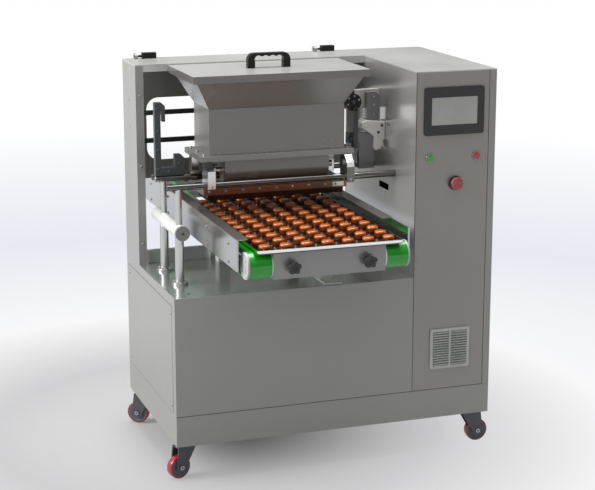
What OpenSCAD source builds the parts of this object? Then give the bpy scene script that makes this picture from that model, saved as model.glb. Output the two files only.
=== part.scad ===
// Cookie depositor: a sheet steel cabinet on casters with a control tower, a hopper head over
// a through conveyor, and a baking tray of dough. X runs to the right, Y to the back, Z up.

/* [Cabinet] */
// Width of the cabinet over its side panels
body_w = 1050; // [1000:10:1200]
// Depth of the cabinet from front face to rear face
body_d = 620; // [600:10:700]
// Height of the roof above the floor
body_h = 1243; // [1243:1:1400]
// Height of the deck above the floor
deck_z = 590; // [560:1:610]
// Height of the plinth band under the panels
plinth_h = 97; // [60:1:140]
// Width of the control tower
tower_w = 270; // [255:1:280]
// Depth of the column and roof beam behind the deck
gantry_d = 177; // [160:1:178]
// Thickness of the folded sheet panels
sheet = 3; // [2:0.5:4]
// Seam between neighbouring panels
seam = 0.6; // [0.2:0.1:0.9]
// Width of the folded edge of the column
lip_w = 26; // [18:1:36]
// Height of the folded edge of the roof beam
beam_lip_h = 23; // [16:1:26]
// Height of the deck's rear upstand
upstand_h = 42; // [20:1:60]

/* [Rear guard] */
// Height of the guard's lower edge above the deck
guard_lift = 251; // [240:1:280]
// Margin between the guard's window and the tower
window_side = 65; // [60:1:120]
// Height of the guard's window
window_h = 208; // [160:2:230]
// Corner radius of the window
window_r = 40; // [10:1:60]
// Length of a hinge block
hinge_l = 61; // [40:1:80]
// Radius of a hinge pin
hinge_pin_r = 4; // [3:0.5:5]

/* [Controls] */
// Width of the touch panel's bezel
hmi_w = 202; // [160:1:210]
// Height of the touch panel's bezel
hmi_h = 150; // [120:1:160]
// Width of the screen
screen_w = 154; // [120:1:160]
// Height of the screen
screen_h = 86; // [70:1:100]
// Radius of a push button's cap
button_r = 11; // [8:0.5:12]
// Radius of the emergency button's head
mushroom_r = 20; // [16:0.5:24]
// Width of the ventilation grille
grille_w = 136; // [130:1:150]
// Height of the ventilation grille
grille_h = 132; // [128:1:150]
// Number of slats in the grille
slat_count = 14; // [8:1:18]
// Outer size of the cooling fan
fan_size = 120; // [100:1:124]

/* [Head] */
// Height of the guide rods above the deck
rod_lift = 307; // [300:1:312]
// Radius of the guide rods
rod_r = 10.5; // [8:0.5:12]
// Distance of the front guide rod in front of the roof beam
rod_front_set = 274; // [270:1:276]
// Distance between the two guide rods
rod_spacing = 187; // [185:1:192]
// Clearance beside the hopper's lower box, on each side of the bay
hopper_side = 168; // [165:1:180]
// Depth of the hopper's lower box
hopper_d = 172; // [160:1:180]
// Height of the hopper's lower box
hopper_box_h = 145; // [120:1:160]
// Height of the hopper's flared mouth
hopper_flare_h = 108; // [80:1:120]
// Widening of the mouth at each end
hopper_flare = 61; // [40:1:64]
// Wall of the hopper
hopper_wall = 3; // [2:0.5:5]
// Height of the handle on the lid
handle_h = 47; // [36:1:60]
// Length of the handle on the lid
handle_l = 141; // [100:1:180]
// Step from the hopper's end to the roller housing's end
housing_set = 50; // [42:1:60]
// Radius of a feed roller
roller_r = 29; // [25:0.5:29.5]
// Number of cookies in a row
row_count = 7; // [4:1:7]

/* [Conveyor] */
// Height of the belt's top run above the deck
belt_lift = 193; // [186:1:196]
// Radius over the belt where it wraps a pulley
belt_r = 41; // [36:0.5:44]
// Width of one belt
belt_w = 67; // [50:1:67]
// Thickness of a belt
belt_t = 3; // [2:0.5:4]
// Reach of the belts behind the cabinet
belt_rear = 290; // [270:1:300]
// Reach of the belts in front of the cabinet
belt_front = 290; // [270:1:300]
// Clearance beside the conveyor's lane, on each side of the bay
lane_side = 127; // [125:1:128]
// Radius of a star knob
knob_r = 23; // [18:0.5:26]
// Clearance between the tray and a side plate
tray_side = 39; // [35:1:43]
// Length of the baking tray
tray_l = 730; // [720:1:740]
// Height of the tray's rim
tray_h = 12; // [8:0.5:14]
// Number of dough rows along the tray
dough_rows = 11; // [5:1:11]
// Radius of a piece of dough
dough_r = 18; // [12:0.5:22]
// Height of a piece of dough
dough_h = 18; // [10:0.5:24]

/* [Casters] */
// Radius of a caster wheel
wheel_r = 37.5; // [32:0.5:40]
// Width of a caster wheel
wheel_w = 24; // [18:0.5:28]
// Height from the floor to the cabinet's bottom plate
caster_h = 117; // [112:1:130]
// Distance between swivel axis and wheel axle
caster_trail = 36; // [30:1:40]

/* [Hidden] */
$fn = 64;

// Shared clearances
cut = 1;
running_fit = 0.08;
slip_fit = 0.3;
rest_gap = 0.2;

// Colours
panel_grey = [0.52, 0.52, 0.50];
mirror_grey = [0.60, 0.62, 0.60];
steel = [0.74, 0.74, 0.72];
dark = [0.2, 0.21, 0.21];
black = [0.06, 0.06, 0.06];
red = [0.75, 0.1, 0.12];
green = [0.1, 0.7, 0.2];
dough_orange = [0.82, 0.4, 0.08];
white = [0.95, 0.95, 0.95];

// Cabinet places; y is measured from the cabinet's front face
left_x = -body_w / 2;
right_x = body_w / 2;
tower_x = right_x - tower_w;
bay_w = tower_x - left_x;
gantry_y = body_d - gantry_d;
rod_front_y = gantry_y - rod_front_set;
rod_rear_y = rod_front_y + rod_spacing;
plinth_top = caster_h + plinth_h;
panel_z = plinth_top + seam;
roof_z = body_h - sheet;
floor_t = 4;
edge_strip_w = 23;
upstand_set = 21;
upstand_t = 15;
access_front = 35;
access_rear = 23;
access_low = 5;
access_top = 30;
deck_hole_r = 6;
deck_hole_set = 58;
deck_hole_x = left_x + deck_hole_set;
deck_hole_y = 48;
slot_set = 52;
slot_front = rod_front_y + slot_set;
slot_l = 82;
slot_h = 21;
slot_drop = 414;

// Rear guard places
guard_gap = 0.5;
guard_y = body_d + guard_gap;
guard_z0 = deck_z + guard_lift;
guard_top_gap = 6;
guard_z1 = body_h - guard_top_gap;
guard_side = 4;
window_set = 77;
window_x0 = left_x + window_set;
window_w = tower_x - window_side - window_x0;
window_drop = 133;
window_z1 = body_h - window_drop;
bar_h = 16;
bar_t = 6;
bar_overlap = 20;
bar_drop = 41;
bar_pitch = 93;
hinge_d = 19;
hinge_h = 16;
hinge_set = 7;
hinge_y = body_d - hinge_set - hinge_d / 2;
hinge_z = body_h + hinge_h / 2;
knuckle_r = 7;
knuckle_w = 10;
pin_tail = 2;
hinge_left_set = 48;
hinge_left_x = left_x + hinge_left_set;
hinge_right_set = 112;
hinge_right_x = tower_x - hinge_right_set;

// Control places, measured on the tower's front face
control_set = 126;
control_x = tower_x + control_set;
hmi_top_drop = 50;
hmi_z = body_h - hmi_top_drop - hmi_h / 2;
hmi_t = 7;
hmi_back_inset = 7;
hmi_back_d = 38;
screen_t = 2.5;
screen_lip = 1;
button_drop = 71;
button_z = hmi_z - hmi_h / 2 - button_drop;
button_side = 79;
estop_drop = 83;
estop_z = button_z - estop_drop;
bezel_rim = 3.5;
bezel_t = 4;
bezel_depth = 34;
bezel_floor = 4;
sleeve_wall = 2;
button_stand = 5;
button_stem = 16;
mushroom_t = 14;
mushroom_edge = 5;
mushroom_stand = 10;
button_edge = 1.5;
estop_shift = 8;
button_places = [
    [control_x - button_side, button_z],
    [control_x + button_side, button_z],
    [control_x + estop_shift, estop_z]
];
grille_set = 127;
grille_x = tower_x + grille_set;
grille_drop = 241;
grille_z = deck_z - grille_drop;
grille_t = 8;
grille_rim = 9;
slat_share = 0.5;
divider_w = 6;
fan_t = 38;
fan_wall = 4;
fan_bore_r = fan_size / 2 - fan_wall;
fan_hub_r = 22;
fan_axle_r = 5;
fan_arm_w = 10;
fan_arm_t = 6;
fan_arm_set = 1;
arm_root_share = 0.2;
blade_count = 7;
blade_tip_gap = 3;
blade_t = 3;
blade_pitch = 32;
blade_chord = 22;
rotor_t = 24;

// Head places
head_offset = 4;
head_x = (left_x + tower_x) / 2 + head_offset;
lane_w = bay_w - 2 * lane_side;
tray_w = lane_w - 2 * tray_side;
row_pitch = tray_w / row_count;
hopper_w = bay_w - 2 * hopper_side;
housing_l = hopper_w - 2 * housing_set;
rod_z = deck_z + rod_lift;
rod_set = 27;
rod_left_x = left_x + rod_set;
rod_stub = 18;
head_set = 31;
head_front = rod_front_y + head_set;
housing_d = 138;
housing_h = 73;
housing_drop = 4;
housing_z0 = rod_z - housing_drop;
housing_z1 = housing_z0 + housing_h;
housing_wall = 6;
housing_end = 10;
housing_round = 36;
flange_t = 17;
flange_side = 30;
flange_front = 12;
flange_z1 = housing_z1 + flange_t;
hopper_rear_flare = 64;
hopper_front_flare = 57;
inset_slice = 0.5;
mouth_z = flange_z1 + hopper_box_h;
rim_z = mouth_z + hopper_flare_h;
lid_t = 3;
lid_skirt = 20;
lid_wall = 2;
lid_play = 2;
lid_z = rim_z + rest_gap;
handle_w = 22;
handle_bar = 11;
handle_leg = 24;
handle_round = 22;
handle_y_share = 0.5;
roller_gap = 1;
roller_top_gap = 7;
roller_z = housing_z1 - roller_r - roller_top_gap;
roller_y = head_front + housing_d / 2;
roller_set = roller_r + roller_gap / 2;
journal_r = 10;
journal_l = 22;
roller_end_gap = 1;
feed_slit = 20;
spacer_h = 15;
spacer_d = 110;
bar_over = 15.5;
bar_l = hopper_w + 2 * bar_over;
bar_d = 110;
nozzle_bar_h = 23;
nozzle_bar_z1 = housing_z0 - spacer_h;
nozzle_bar_z0 = nozzle_bar_z1 - nozzle_bar_h;
nozzle_block_h = 17;
nozzle_block_set = 12;
nozzle_block_z0 = nozzle_bar_z0 - nozzle_block_h;
trough_w = 20;
trough_h = 10;
port_r = 9;
nozzle_r = 15;
nozzle_tip_r = 11;
nozzle_neck = 5;
nozzle_h = 12;
clamp_w = 25;
clamp_side = 11;
clamp_wall = 6;
clamp_grip = 17;

// Guide posts and brackets at the left end of the rods
post_set = 63;
post_x = left_x + post_set;
post_foot_r = 25;
post_foot_h = 8;
post_tube_r = 14;
post_rod_r = 10;
post_block = 34;
cross_r = 21.5;
cross_lift = 170;
cross_front = 44;
cross_rear = 79;
cross_z = deck_z + cross_lift;
bracket_y = (rod_front_y + rod_rear_y) / 2;
bracket_t = 20;
bracket_base_t = 5;
bracket_arm_w = 19;
bracket_arm_h = 230;
bracket_l = 93;
bracket_foot_h = 26;
bracket_stop_w = 31;
bracket_stop_h = 66;
bracket_hook_w = 34;
bracket_hook_h = 26;
bracket_tip_w = 10;
bracket_tip_h = 60;
bracket_chamfer = 12;
bracket_set = 13;
bracket_x0 = left_x + bracket_set;
bracket_z0 = rod_z + post_block / 2 + bracket_base_t;

// Drive at the right of the head, hung on the tower's inner wall
drive_set = 116;
drive_x = tower_x - drive_set;
crank_lift = 224;
crank_z = rod_z + crank_lift;
crank_r = 27.5;
crank_t = 8;
crank_arm = 24;
crank_angle = 15;
crank_pin_r = 5;
link_l = 118;
link_w = 16;
link_t = 7;
lever_z = crank_z - link_l;
lever_w = 20;
lever_boss_share = 0.7;
lever_web_share = 0.8;
crank_pin_x = drive_x + crank_arm * sin(crank_angle);
crank_pin_z = crank_z - crank_arm * cos(crank_angle);
drive_pin_r = 6;
lever_pin_r = 4.5;
motor_set = 81;
motor_y = rod_front_y + motor_set;
motor_r = 26;
motor_l = 58;
crank_gap = 0.4;
crank_y = motor_y - crank_gap - crank_t;
link_y = crank_y - crank_gap - link_t;
pin_head = 2;
drive_block_t = 50;
drive_block_h = 100;
drive_block_lift = 58;
drive_block_z0 = rod_z + drive_block_lift;
drive_block_w = 90;
lever_arm_h = 36;
motor_plate_t = 6;
motor_plate_h = 62;
stop_plate_w = 46;
stop_plate_h = 92;
stop_plate_t = 20;
stop_plate_set = 13;
stop_plate_cut = 14;

// Conveyor places
belt_l = body_d + belt_front + belt_rear;
belt_top = deck_z + belt_lift;
pulley_z = belt_top - belt_r;
pulley_front_y = belt_r - belt_front;
pulley_rear_y = belt_l - belt_front - belt_r;
pulley_r = belt_r - belt_t - slip_fit;
shaft_r = 8;
side_t = 6;
side_low = 68;
side_high = 32;
side_over = 14;
side_x = lane_w / 2;
belt_set = 19;
belt_x = side_x - belt_set - belt_w / 2;
inner_t = 5;
inner_gap = 3;
inner_x = belt_x - belt_w / 2 - inner_gap - inner_t;
inner_h = 66;
inner_drop = 10;
inner_z1 = belt_top - inner_drop;
cross_plate_t = 6;
cross_plate_h = 77;
cross_plate_drop = 3;
cross_plate_z1 = belt_top - cross_plate_drop;
cross_plate_set = 5;
cross_plate_y = cross_plate_set - belt_front;
knob_inset = 52;
knob_side = inner_x - knob_inset;
knob_drop = 40;
knob_z = cross_plate_z1 - knob_drop;
knob_t = 20;
knob_boss_r = 13;
knob_boss_t = 12;
knob_lobes = 5;
knob_lobe_r = 8;
knob_stud_r = 5;
knob_stud_l = 22;
rail_w = 30;
rail_t = 3;
dark_rail_front = 105;
stand_w = 40;
stand_set = 30;
stand_clear = 29;
stand_rear_y = gantry_y + upstand_set - stand_clear - stand_w;
stand_beam_h = 18;
foot_front = 8;
foot_w = 55;
foot_d = 100;
foot_t = 6;
foot_inset = 22;
foot_side = inner_x - foot_inset - foot_w / 2;
stand_front_y = foot_front + foot_d - stand_w;
tray_wall = 2;
tray_z = belt_top + rest_gap;
tray_reach = 10;
tray_y = -belt_front - tray_reach;
dough_edge_share = 0.25;
dough_pitch = tray_l / (dough_rows + dough_edge_share);
dough_skirt_share = 0.55;
dough_top_share = 0.62;
dough_z = tray_z + tray_wall;

// Caster places
plate_l = 90;
plate_w = 74;
plate_t = 4;
race_r = 22;
race_h = 8;
king_r = 6;
fork_t = 4;
fork_gap = 2;
fork_w = 36;
fork_tail = 10;
axle_r = 5;
axle_head = 4;
hub_r = 14;
tread_chamfer = 3;
caster_front_y = 60;
caster_front_set = 50;
caster_front_x = body_w / 2 - caster_front_set;
caster_rear_back = 50;
caster_rear_y = body_d - caster_rear_back;
caster_rear_set = 50;
caster_rear_x = body_w / 2 - caster_rear_set;
rear_caster_turn = 35;
left_caster_turn = 20;
caster_places = [
    [-caster_front_x, caster_front_y, 180 + left_caster_turn],
    [caster_front_x, caster_front_y, 0],
    [-caster_rear_x, caster_rear_y, 180 - rear_caster_turn],
    [caster_rear_x, caster_rear_y, rear_caster_turn]
];
fork_top = caster_h - plate_t - race_h - slip_fit;

// Whole machine: the knobs reach furthest forward and the belts furthest back
front_reach = cross_plate_y - knob_boss_t - knob_t;
rear_reach = belt_l - belt_front;
mid_y = (front_reach + rear_reach) / 2;

// Moves the machine so that the origin lies under the middle of its box
module placed() { translate([0, -mid_y, 0]) children(); }

// Box from its lowest corner to its highest corner
module span(lo, hi) { translate(lo) cube(hi - lo); }

// Round bar along X, through [y, z]
module bar_x(x0, x1, y, z, r) { translate([x0, y, z]) rotate([0, 90, 0]) cylinder(r = r, h = x1 - x0); }

// Round bar along Y, through [x, z]
module bar_y(y0, y1, x, z, r) { translate([x, y0, z]) rotate([-90, 0, 0]) cylinder(r = r, h = y1 - y0); }

// Flat shape drawn in X and Z, standing from y0 to y1
module slab_y(y0, y1) { translate([0, y1, 0]) rotate([90, 0, 0]) linear_extrude(y1 - y0) children(); }

// Flat shape drawn in Y and Z, standing from x0 to x1
module slab_x(x0, x1) {
    translate([x0, 0, 0]) rotate([90, 0, 90]) linear_extrude(x1 - x0) children();
}

// Flat rectangle with round corners, from its lowest corner
module round_rect(w, h, r) {
    translate([r, 0]) square([w - 2 * r, h]);
    translate([0, r]) square([w, h - 2 * r]);
    for (x = [r, w - r], y = [r, h - r]) translate([x, y]) circle(r);
}

// Flat stadium around two pulleys, drawn in Y and Z
module stadium(r) {
    translate([pulley_front_y, pulley_z - r]) square([pulley_rear_y - pulley_front_y, 2 * r]);
    for (y = [pulley_front_y, pulley_rear_y]) translate([y, pulley_z]) circle(r);
}

module base_frame() {
    color(panel_grey) placed() difference() {
        span([left_x, 0, caster_h], [right_x, body_d, plinth_top]);
        span([left_x + sheet, sheet, caster_h + floor_t],
             [right_x - sheet, body_d - sheet, plinth_top + cut]);
    }
}

module front_panel() {
    color(panel_grey) placed() span([left_x, 0, panel_z], [tower_x - seam / 2, sheet, deck_z]);
}

module left_side_panel() {
    color(panel_grey) placed() {
        difference() {
            span([left_x, sheet, panel_z], [left_x + sheet, body_d, deck_z]);
            span([left_x - cut, access_front, plinth_top + access_low],
                 [left_x + sheet + cut, body_d - access_rear, deck_z - access_top]);
        }
        span([left_x, gantry_y, deck_z], [left_x + sheet, body_d, roof_z]);
        span([left_x, gantry_y, deck_z], [left_x + lip_w, gantry_y + sheet, roof_z]);
        span([left_x, body_d - sheet, deck_z], [left_x + lip_w, body_d, roof_z]);
    }
}

module left_access_panel() {
    color(panel_grey) placed()
        span([left_x, access_front + seam, plinth_top + access_low + seam],
             [left_x + sheet, body_d - access_rear - seam, deck_z - access_top - seam]);
}

module right_side_panel() {
    color(panel_grey) placed() {
        span([right_x - sheet, 0, panel_z], [right_x, body_d, roof_z]);
        span([right_x - edge_strip_w, 0, panel_z], [right_x, sheet, roof_z]);
    }
}

module rear_panel() {
    color(panel_grey) placed() {
        span([left_x + sheet, body_d - sheet, panel_z], [right_x - sheet, body_d, deck_z]);
        span([tower_x, body_d - sheet, deck_z], [right_x - sheet, body_d, roof_z]);
    }
}

module deck_plate() {
    color(mirror_grey) placed() {
        difference() {
            span([left_x + sheet, sheet, deck_z - sheet], [tower_x, body_d - sheet, deck_z]);
            translate([deck_hole_x, deck_hole_y, deck_z - sheet - cut])
                cylinder(r = deck_hole_r, h = sheet + 2 * cut);
        }
        span([left_x + lip_w, gantry_y + upstand_set, deck_z],
             [tower_x, gantry_y + upstand_set + upstand_t, deck_z + upstand_h]);
    }
}

module tower_front_panel() {
    color(panel_grey) placed() difference() {
        span([tower_x + seam / 2, 0, panel_z], [right_x - edge_strip_w - seam, sheet, roof_z]);
        span([control_x - hmi_w / 2 + hmi_back_inset, -cut, hmi_z - hmi_h / 2 + hmi_back_inset],
             [control_x + hmi_w / 2 - hmi_back_inset, sheet + cut, hmi_z + hmi_h / 2 - hmi_back_inset]);
        for (p = button_places) bar_y(-cut, sheet + cut, p[0], p[1], button_r + sleeve_wall);
        bar_y(-cut, sheet + cut, grille_x, grille_z, fan_bore_r);
    }
}

module tower_inner_wall() {
    color(mirror_grey) placed() difference() {
        span([tower_x, sheet, panel_z], [tower_x + sheet, body_d - sheet, roof_z]);
        span([tower_x - cut, slot_front, body_h - slot_drop],
             [tower_x + sheet + cut, slot_front + slot_l, body_h - slot_drop + slot_h]);
        for (y = [rod_front_y, rod_rear_y])
            bar_x(tower_x - cut, tower_x + sheet + cut, y, rod_z, rod_r + running_fit);
    }
}

module roof_panel() {
    color(panel_grey) placed() {
        span([tower_x, 0, roof_z], [right_x, body_d, body_h]);
        span([left_x, gantry_y, roof_z], [tower_x, body_d, body_h]);
        for (y = [gantry_y, body_d - sheet])
            span([left_x + lip_w, y, body_h - beam_lip_h], [tower_x, y + sheet, roof_z]);
    }
}

// Hinge lug of the guard, with its bore for the pin; block_x is the block's left end
module guard_lug(block_x) {
    x1 = block_x - slip_fit;
    difference() {
        union() {
            bar_x(x1 - knuckle_w, x1, hinge_y, hinge_z, knuckle_r);
            span([x1 - knuckle_w, hinge_y, hinge_z - knuckle_r],
                 [x1, guard_y + sheet, hinge_z + knuckle_r]);
            span([x1 - knuckle_w, guard_y, guard_z1 - sheet],
                 [x1, guard_y + sheet, hinge_z + knuckle_r]);
        }
        bar_x(x1 - knuckle_w - cut, x1 + cut, hinge_y, hinge_z, hinge_pin_r + running_fit);
    }
}

module rear_guard() {
    color(panel_grey) placed() {
        difference() {
            span([left_x + guard_side, guard_y, guard_z0], [tower_x - guard_side, guard_y + sheet, guard_z1]);
            slab_y(guard_y - cut, guard_y + sheet + cut)
                translate([window_x0, window_z1 - window_h]) round_rect(window_w, window_h, window_r);
        }
        for (x = [hinge_left_x, hinge_right_x]) guard_lug(x);
    }
}

module guard_bars() {
    color(dark) placed() for (i = [0, 1]) {
        z = window_z1 - bar_drop - bar_h - i * bar_pitch;
        span([window_x0 - bar_overlap, guard_y - bar_t, z],
             [window_x0 + window_w + bar_overlap, guard_y, z + bar_h]);
    }
}

module guard_hinges() {
    color(black) placed() for (x = [hinge_left_x, hinge_right_x]) {
        span([x, hinge_y - hinge_d / 2, body_h], [x + hinge_l, hinge_y + hinge_d / 2, body_h + hinge_h]);
        bar_x(x - slip_fit - knuckle_w - pin_tail, x, hinge_y, hinge_z, hinge_pin_r);
    }
}

module hmi_bezel() {
    color(black) placed() difference() {
        union() {
            span([control_x - hmi_w / 2, -hmi_t, hmi_z - hmi_h / 2],
                 [control_x + hmi_w / 2, 0, hmi_z + hmi_h / 2]);
            span([control_x - hmi_w / 2 + hmi_back_inset, 0, hmi_z - hmi_h / 2 + hmi_back_inset],
                 [control_x + hmi_w / 2 - hmi_back_inset, hmi_back_d, hmi_z + hmi_h / 2 - hmi_back_inset]);
        }
        span([control_x - screen_w / 2, -hmi_t - cut, hmi_z - screen_h / 2],
             [control_x + screen_w / 2, -hmi_t + screen_lip + screen_t, hmi_z + screen_h / 2]);
    }
}

module hmi_screen() {
    color(dark) placed()
        span([control_x - screen_w / 2, -hmi_t + screen_lip, hmi_z - screen_h / 2],
             [control_x + screen_w / 2, -hmi_t + screen_lip + screen_t, hmi_z + screen_h / 2]);
}

module button_bezels() {
    color(steel) placed() for (p = button_places) difference() {
        union() {
            bar_y(-bezel_t, 0, p[0], p[1], button_r + bezel_rim);
            bar_y(0, bezel_depth, p[0], p[1], button_r + sleeve_wall);
        }
        bar_y(-bezel_t - cut, bezel_depth - bezel_floor, p[0], p[1], button_r + running_fit);
    }
}

// Push button with a chamfered cap, at its place on the tower
module push_button(p) {
    translate([p[0], 0, p[1]]) rotate([90, 0, 0]) rotate_extrude()
        polygon([[0, -button_stem], [button_r, -button_stem],
                 [button_r, bezel_t + button_stand - button_edge],
                 [button_r - button_edge, bezel_t + button_stand], [0, bezel_t + button_stand]]);
}

module start_button() { color(green) placed() push_button(button_places[0]); }

module stop_button() { color(red) placed() push_button(button_places[1]); }

module emergency_button() {
    dome_z = mushroom_stand + mushroom_t - mushroom_edge;
    color(red) placed() translate([button_places[2][0], 0, button_places[2][1]]) rotate([90, 0, 0]) {
        translate([0, 0, -button_stem]) cylinder(r = button_r, h = button_stem + mushroom_stand);
        translate([0, 0, mushroom_stand]) cylinder(r = mushroom_r, h = mushroom_t - mushroom_edge);
        translate([0, 0, dome_z]) cylinder(r = mushroom_r - mushroom_edge, h = mushroom_edge);
        translate([0, 0, dome_z]) rotate_extrude() intersection() {
            translate([mushroom_r - mushroom_edge, 0]) circle(mushroom_edge);
            square([mushroom_r, mushroom_edge]);
        }
    }
}

module fan_grille() {
    pitch = (grille_h - 2 * grille_rim) / slat_count;
    color(steel) placed() translate([grille_x - grille_w / 2, -grille_t, grille_z - grille_h / 2]) {
        difference() {
            cube([grille_w, grille_t, grille_h]);
            translate([grille_rim, -cut, grille_rim])
                cube([grille_w - 2 * grille_rim, grille_t + 2 * cut, grille_h - 2 * grille_rim]);
        }
        for (i = [0 : slat_count - 1])
            translate([grille_rim, 0, grille_rim + (i + slat_share / 2) * pitch])
                cube([grille_w - 2 * grille_rim, grille_t, pitch * slat_share]);
        translate([grille_w / 2 - divider_w / 2, 0, grille_rim])
            cube([divider_w, grille_t, grille_h - 2 * grille_rim]);
    }
}

module fan_frame() {
    back = sheet + fan_t;
    arm_reach = fan_bore_r + fan_arm_w * arm_root_share;
    color(black) placed() {
        difference() {
            span([grille_x - fan_size / 2, sheet, grille_z - fan_size / 2],
                 [grille_x + fan_size / 2, back, grille_z + fan_size / 2]);
            bar_y(sheet - cut, back + cut, grille_x, grille_z, fan_bore_r);
        }
        bar_y(back - fan_arm_t, back, grille_x, grille_z, fan_hub_r);
        bar_y(sheet + fan_arm_t, back, grille_x, grille_z, fan_axle_r);
        for (a = [45, 135]) translate([grille_x, back - fan_arm_t + fan_arm_set, grille_z]) rotate([0, a, 0])
            translate([-arm_reach, 0, -fan_arm_w / 2])
                cube([2 * arm_reach, fan_arm_t - 2 * fan_arm_set, fan_arm_w]);
    }
}

module fan_rotor() {
    rear = sheet + fan_t - fan_arm_t - slip_fit;
    color(dark) placed() difference() {
        union() {
            bar_y(rear - rotor_t, rear, grille_x, grille_z, fan_hub_r);
            for (i = [0 : blade_count - 1]) translate([grille_x, rear - rotor_t / 2, grille_z])
                rotate([0, i * 360 / blade_count, 0]) rotate([blade_pitch, 0, 0])
                    translate([fan_hub_r - blade_t, -blade_t / 2, -blade_chord / 2])
                        cube([fan_bore_r - blade_tip_gap - fan_hub_r + blade_t, blade_t, blade_chord]);
        }
        bar_y(rear - rotor_t - cut, rear + cut, grille_x, grille_z, fan_axle_r + running_fit);
    }
}

// Hopper's solid shape, drawn in by an inset on every side
module hopper_form(inset, z0, z1) {
    x0 = head_x - hopper_w / 2 + inset;
    x1 = head_x + hopper_w / 2 - inset;
    y0 = head_front + inset;
    y1 = head_front + hopper_d - inset;
    span([x0, y0, z0], [x1, y1, mouth_z]);
    hull() {
        span([x0, y0, mouth_z - inset_slice], [x1, y1, mouth_z]);
        span([x0 - hopper_flare, y0 - hopper_front_flare, z1 - inset_slice],
             [x1 + hopper_flare, y1 + hopper_rear_flare, z1]);
    }
}

module hopper_body() {
    color(steel) placed() difference() {
        hopper_form(0, flange_z1, rim_z);
        hopper_form(hopper_wall, flange_z1 - cut, rim_z + cut);
    }
}

module hopper_lid() {
    x0 = head_x - hopper_w / 2 - hopper_flare - lid_play - lid_wall;
    x1 = head_x + hopper_w / 2 + hopper_flare + lid_play + lid_wall;
    y0 = head_front - hopper_front_flare - lid_play - lid_wall;
    y1 = head_front + hopper_d + hopper_rear_flare + lid_play + lid_wall;
    color(steel) placed() difference() {
        span([x0, y0, lid_z - lid_skirt], [x1, y1, lid_z + lid_t]);
        span([x0 + lid_wall, y0 + lid_wall, lid_z - lid_skirt - cut], [x1 - lid_wall, y1 - lid_wall, lid_z]);
    }
}

module lid_handle() {
    mouth_d = hopper_d + hopper_front_flare + hopper_rear_flare;
    y = head_front - hopper_front_flare + handle_y_share * mouth_d;
    color(black) placed() translate([0, 0, lid_z + lid_t]) slab_y(y - handle_w / 2, y + handle_w / 2)
        translate([head_x - handle_l / 2, 0]) difference() {
            translate([0, -handle_h]) round_rect(handle_l, 2 * handle_h, handle_round);
            translate([handle_leg, -handle_h])
                round_rect(handle_l - 2 * handle_leg, 2 * handle_h - handle_bar, handle_round / 2);
            translate([-cut, -handle_h - cut]) square([handle_l + 2 * cut, handle_h + cut]);
        }
}

module hopper_flange() {
    color(steel) placed() difference() {
        span([head_x - hopper_w / 2 - flange_side, head_front - flange_front, housing_z1],
             [head_x + hopper_w / 2 + flange_side, head_front + hopper_d + flange_front, flange_z1]);
        span([head_x - housing_l / 2 + housing_end, head_front + housing_wall, housing_z1 - cut],
             [head_x + housing_l / 2 - housing_end, head_front + housing_d - housing_wall, flange_z1 + cut]);
    }
}

// Housing's section in Y and Z with its rounded lower front corner
module housing_section(inset, top) {
    y0 = head_front + inset;
    z0 = housing_z0 + inset;
    r = housing_round - inset;
    w = housing_d - 2 * inset;
    translate([y0 + r, z0]) square([w - r, top - z0]);
    translate([y0, z0 + r]) square([w, top - z0 - r]);
    translate([y0 + r, z0 + r]) circle(r);
}

module roller_housing() {
    x0 = head_x - housing_l / 2;
    x1 = head_x + housing_l / 2;
    color(steel) placed() difference() {
        slab_x(x0, x1) housing_section(0, housing_z1);
        slab_x(x0 + housing_end, x1 - housing_end) housing_section(housing_wall, housing_z1 + cut);
        span([x0 + housing_end, roller_y - feed_slit / 2, housing_z0 - cut],
             [x1 - housing_end, roller_y + feed_slit / 2, housing_z1]);
        for (s = [-1, 1])
            bar_x(x0 - cut, x1 + cut, roller_y + s * roller_set, roller_z, journal_r + running_fit);
    }
}

// Feed roller with its two journals, at a distance from the middle of the housing
module feed_roller(dy) {
    half = housing_l / 2 - housing_end - roller_end_gap;
    reach = housing_l / 2 + journal_l;
    bar_x(head_x - half, head_x + half, roller_y + dy, roller_z, roller_r);
    bar_x(head_x - reach, head_x + reach, roller_y + dy, roller_z, journal_r);
}

module front_feed_roller() { color(mirror_grey) placed() feed_roller(-roller_set); }

module rear_feed_roller() { color(mirror_grey) placed() feed_roller(roller_set); }

module nozzle_bar() {
    row_l = (row_count - 1) * row_pitch;
    block_l = bar_l - 2 * nozzle_block_set;
    color(steel) placed() difference() {
        union() {
            span([head_x - block_l / 2, roller_y - bar_d / 2, nozzle_block_z0],
                 [head_x + block_l / 2, roller_y + bar_d / 2, nozzle_bar_z0]);
            span([head_x - bar_l / 2, roller_y - bar_d / 2, nozzle_bar_z0],
                 [head_x + bar_l / 2, roller_y + bar_d / 2, nozzle_bar_z1]);
            span([head_x - row_l / 2 - port_r - trough_w / 2, roller_y - spacer_d / 2, nozzle_bar_z1],
                 [head_x + row_l / 2 + port_r + trough_w / 2, roller_y + spacer_d / 2, housing_z0]);
        }
        span([head_x - housing_l / 2 + housing_end, roller_y - feed_slit / 2, nozzle_bar_z1 - cut],
             [head_x + housing_l / 2 - housing_end, roller_y + feed_slit / 2, housing_z0 + cut]);
        span([head_x - row_l / 2 - port_r, roller_y - trough_w / 2, nozzle_bar_z1 - trough_h],
             [head_x + row_l / 2 + port_r, roller_y + trough_w / 2, nozzle_bar_z1]);
        for (i = [0 : row_count - 1])
            translate([head_x - row_l / 2 + i * row_pitch, roller_y, nozzle_block_z0 - cut])
                cylinder(r = port_r, h = nozzle_block_h + nozzle_bar_h);
    }
}

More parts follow.
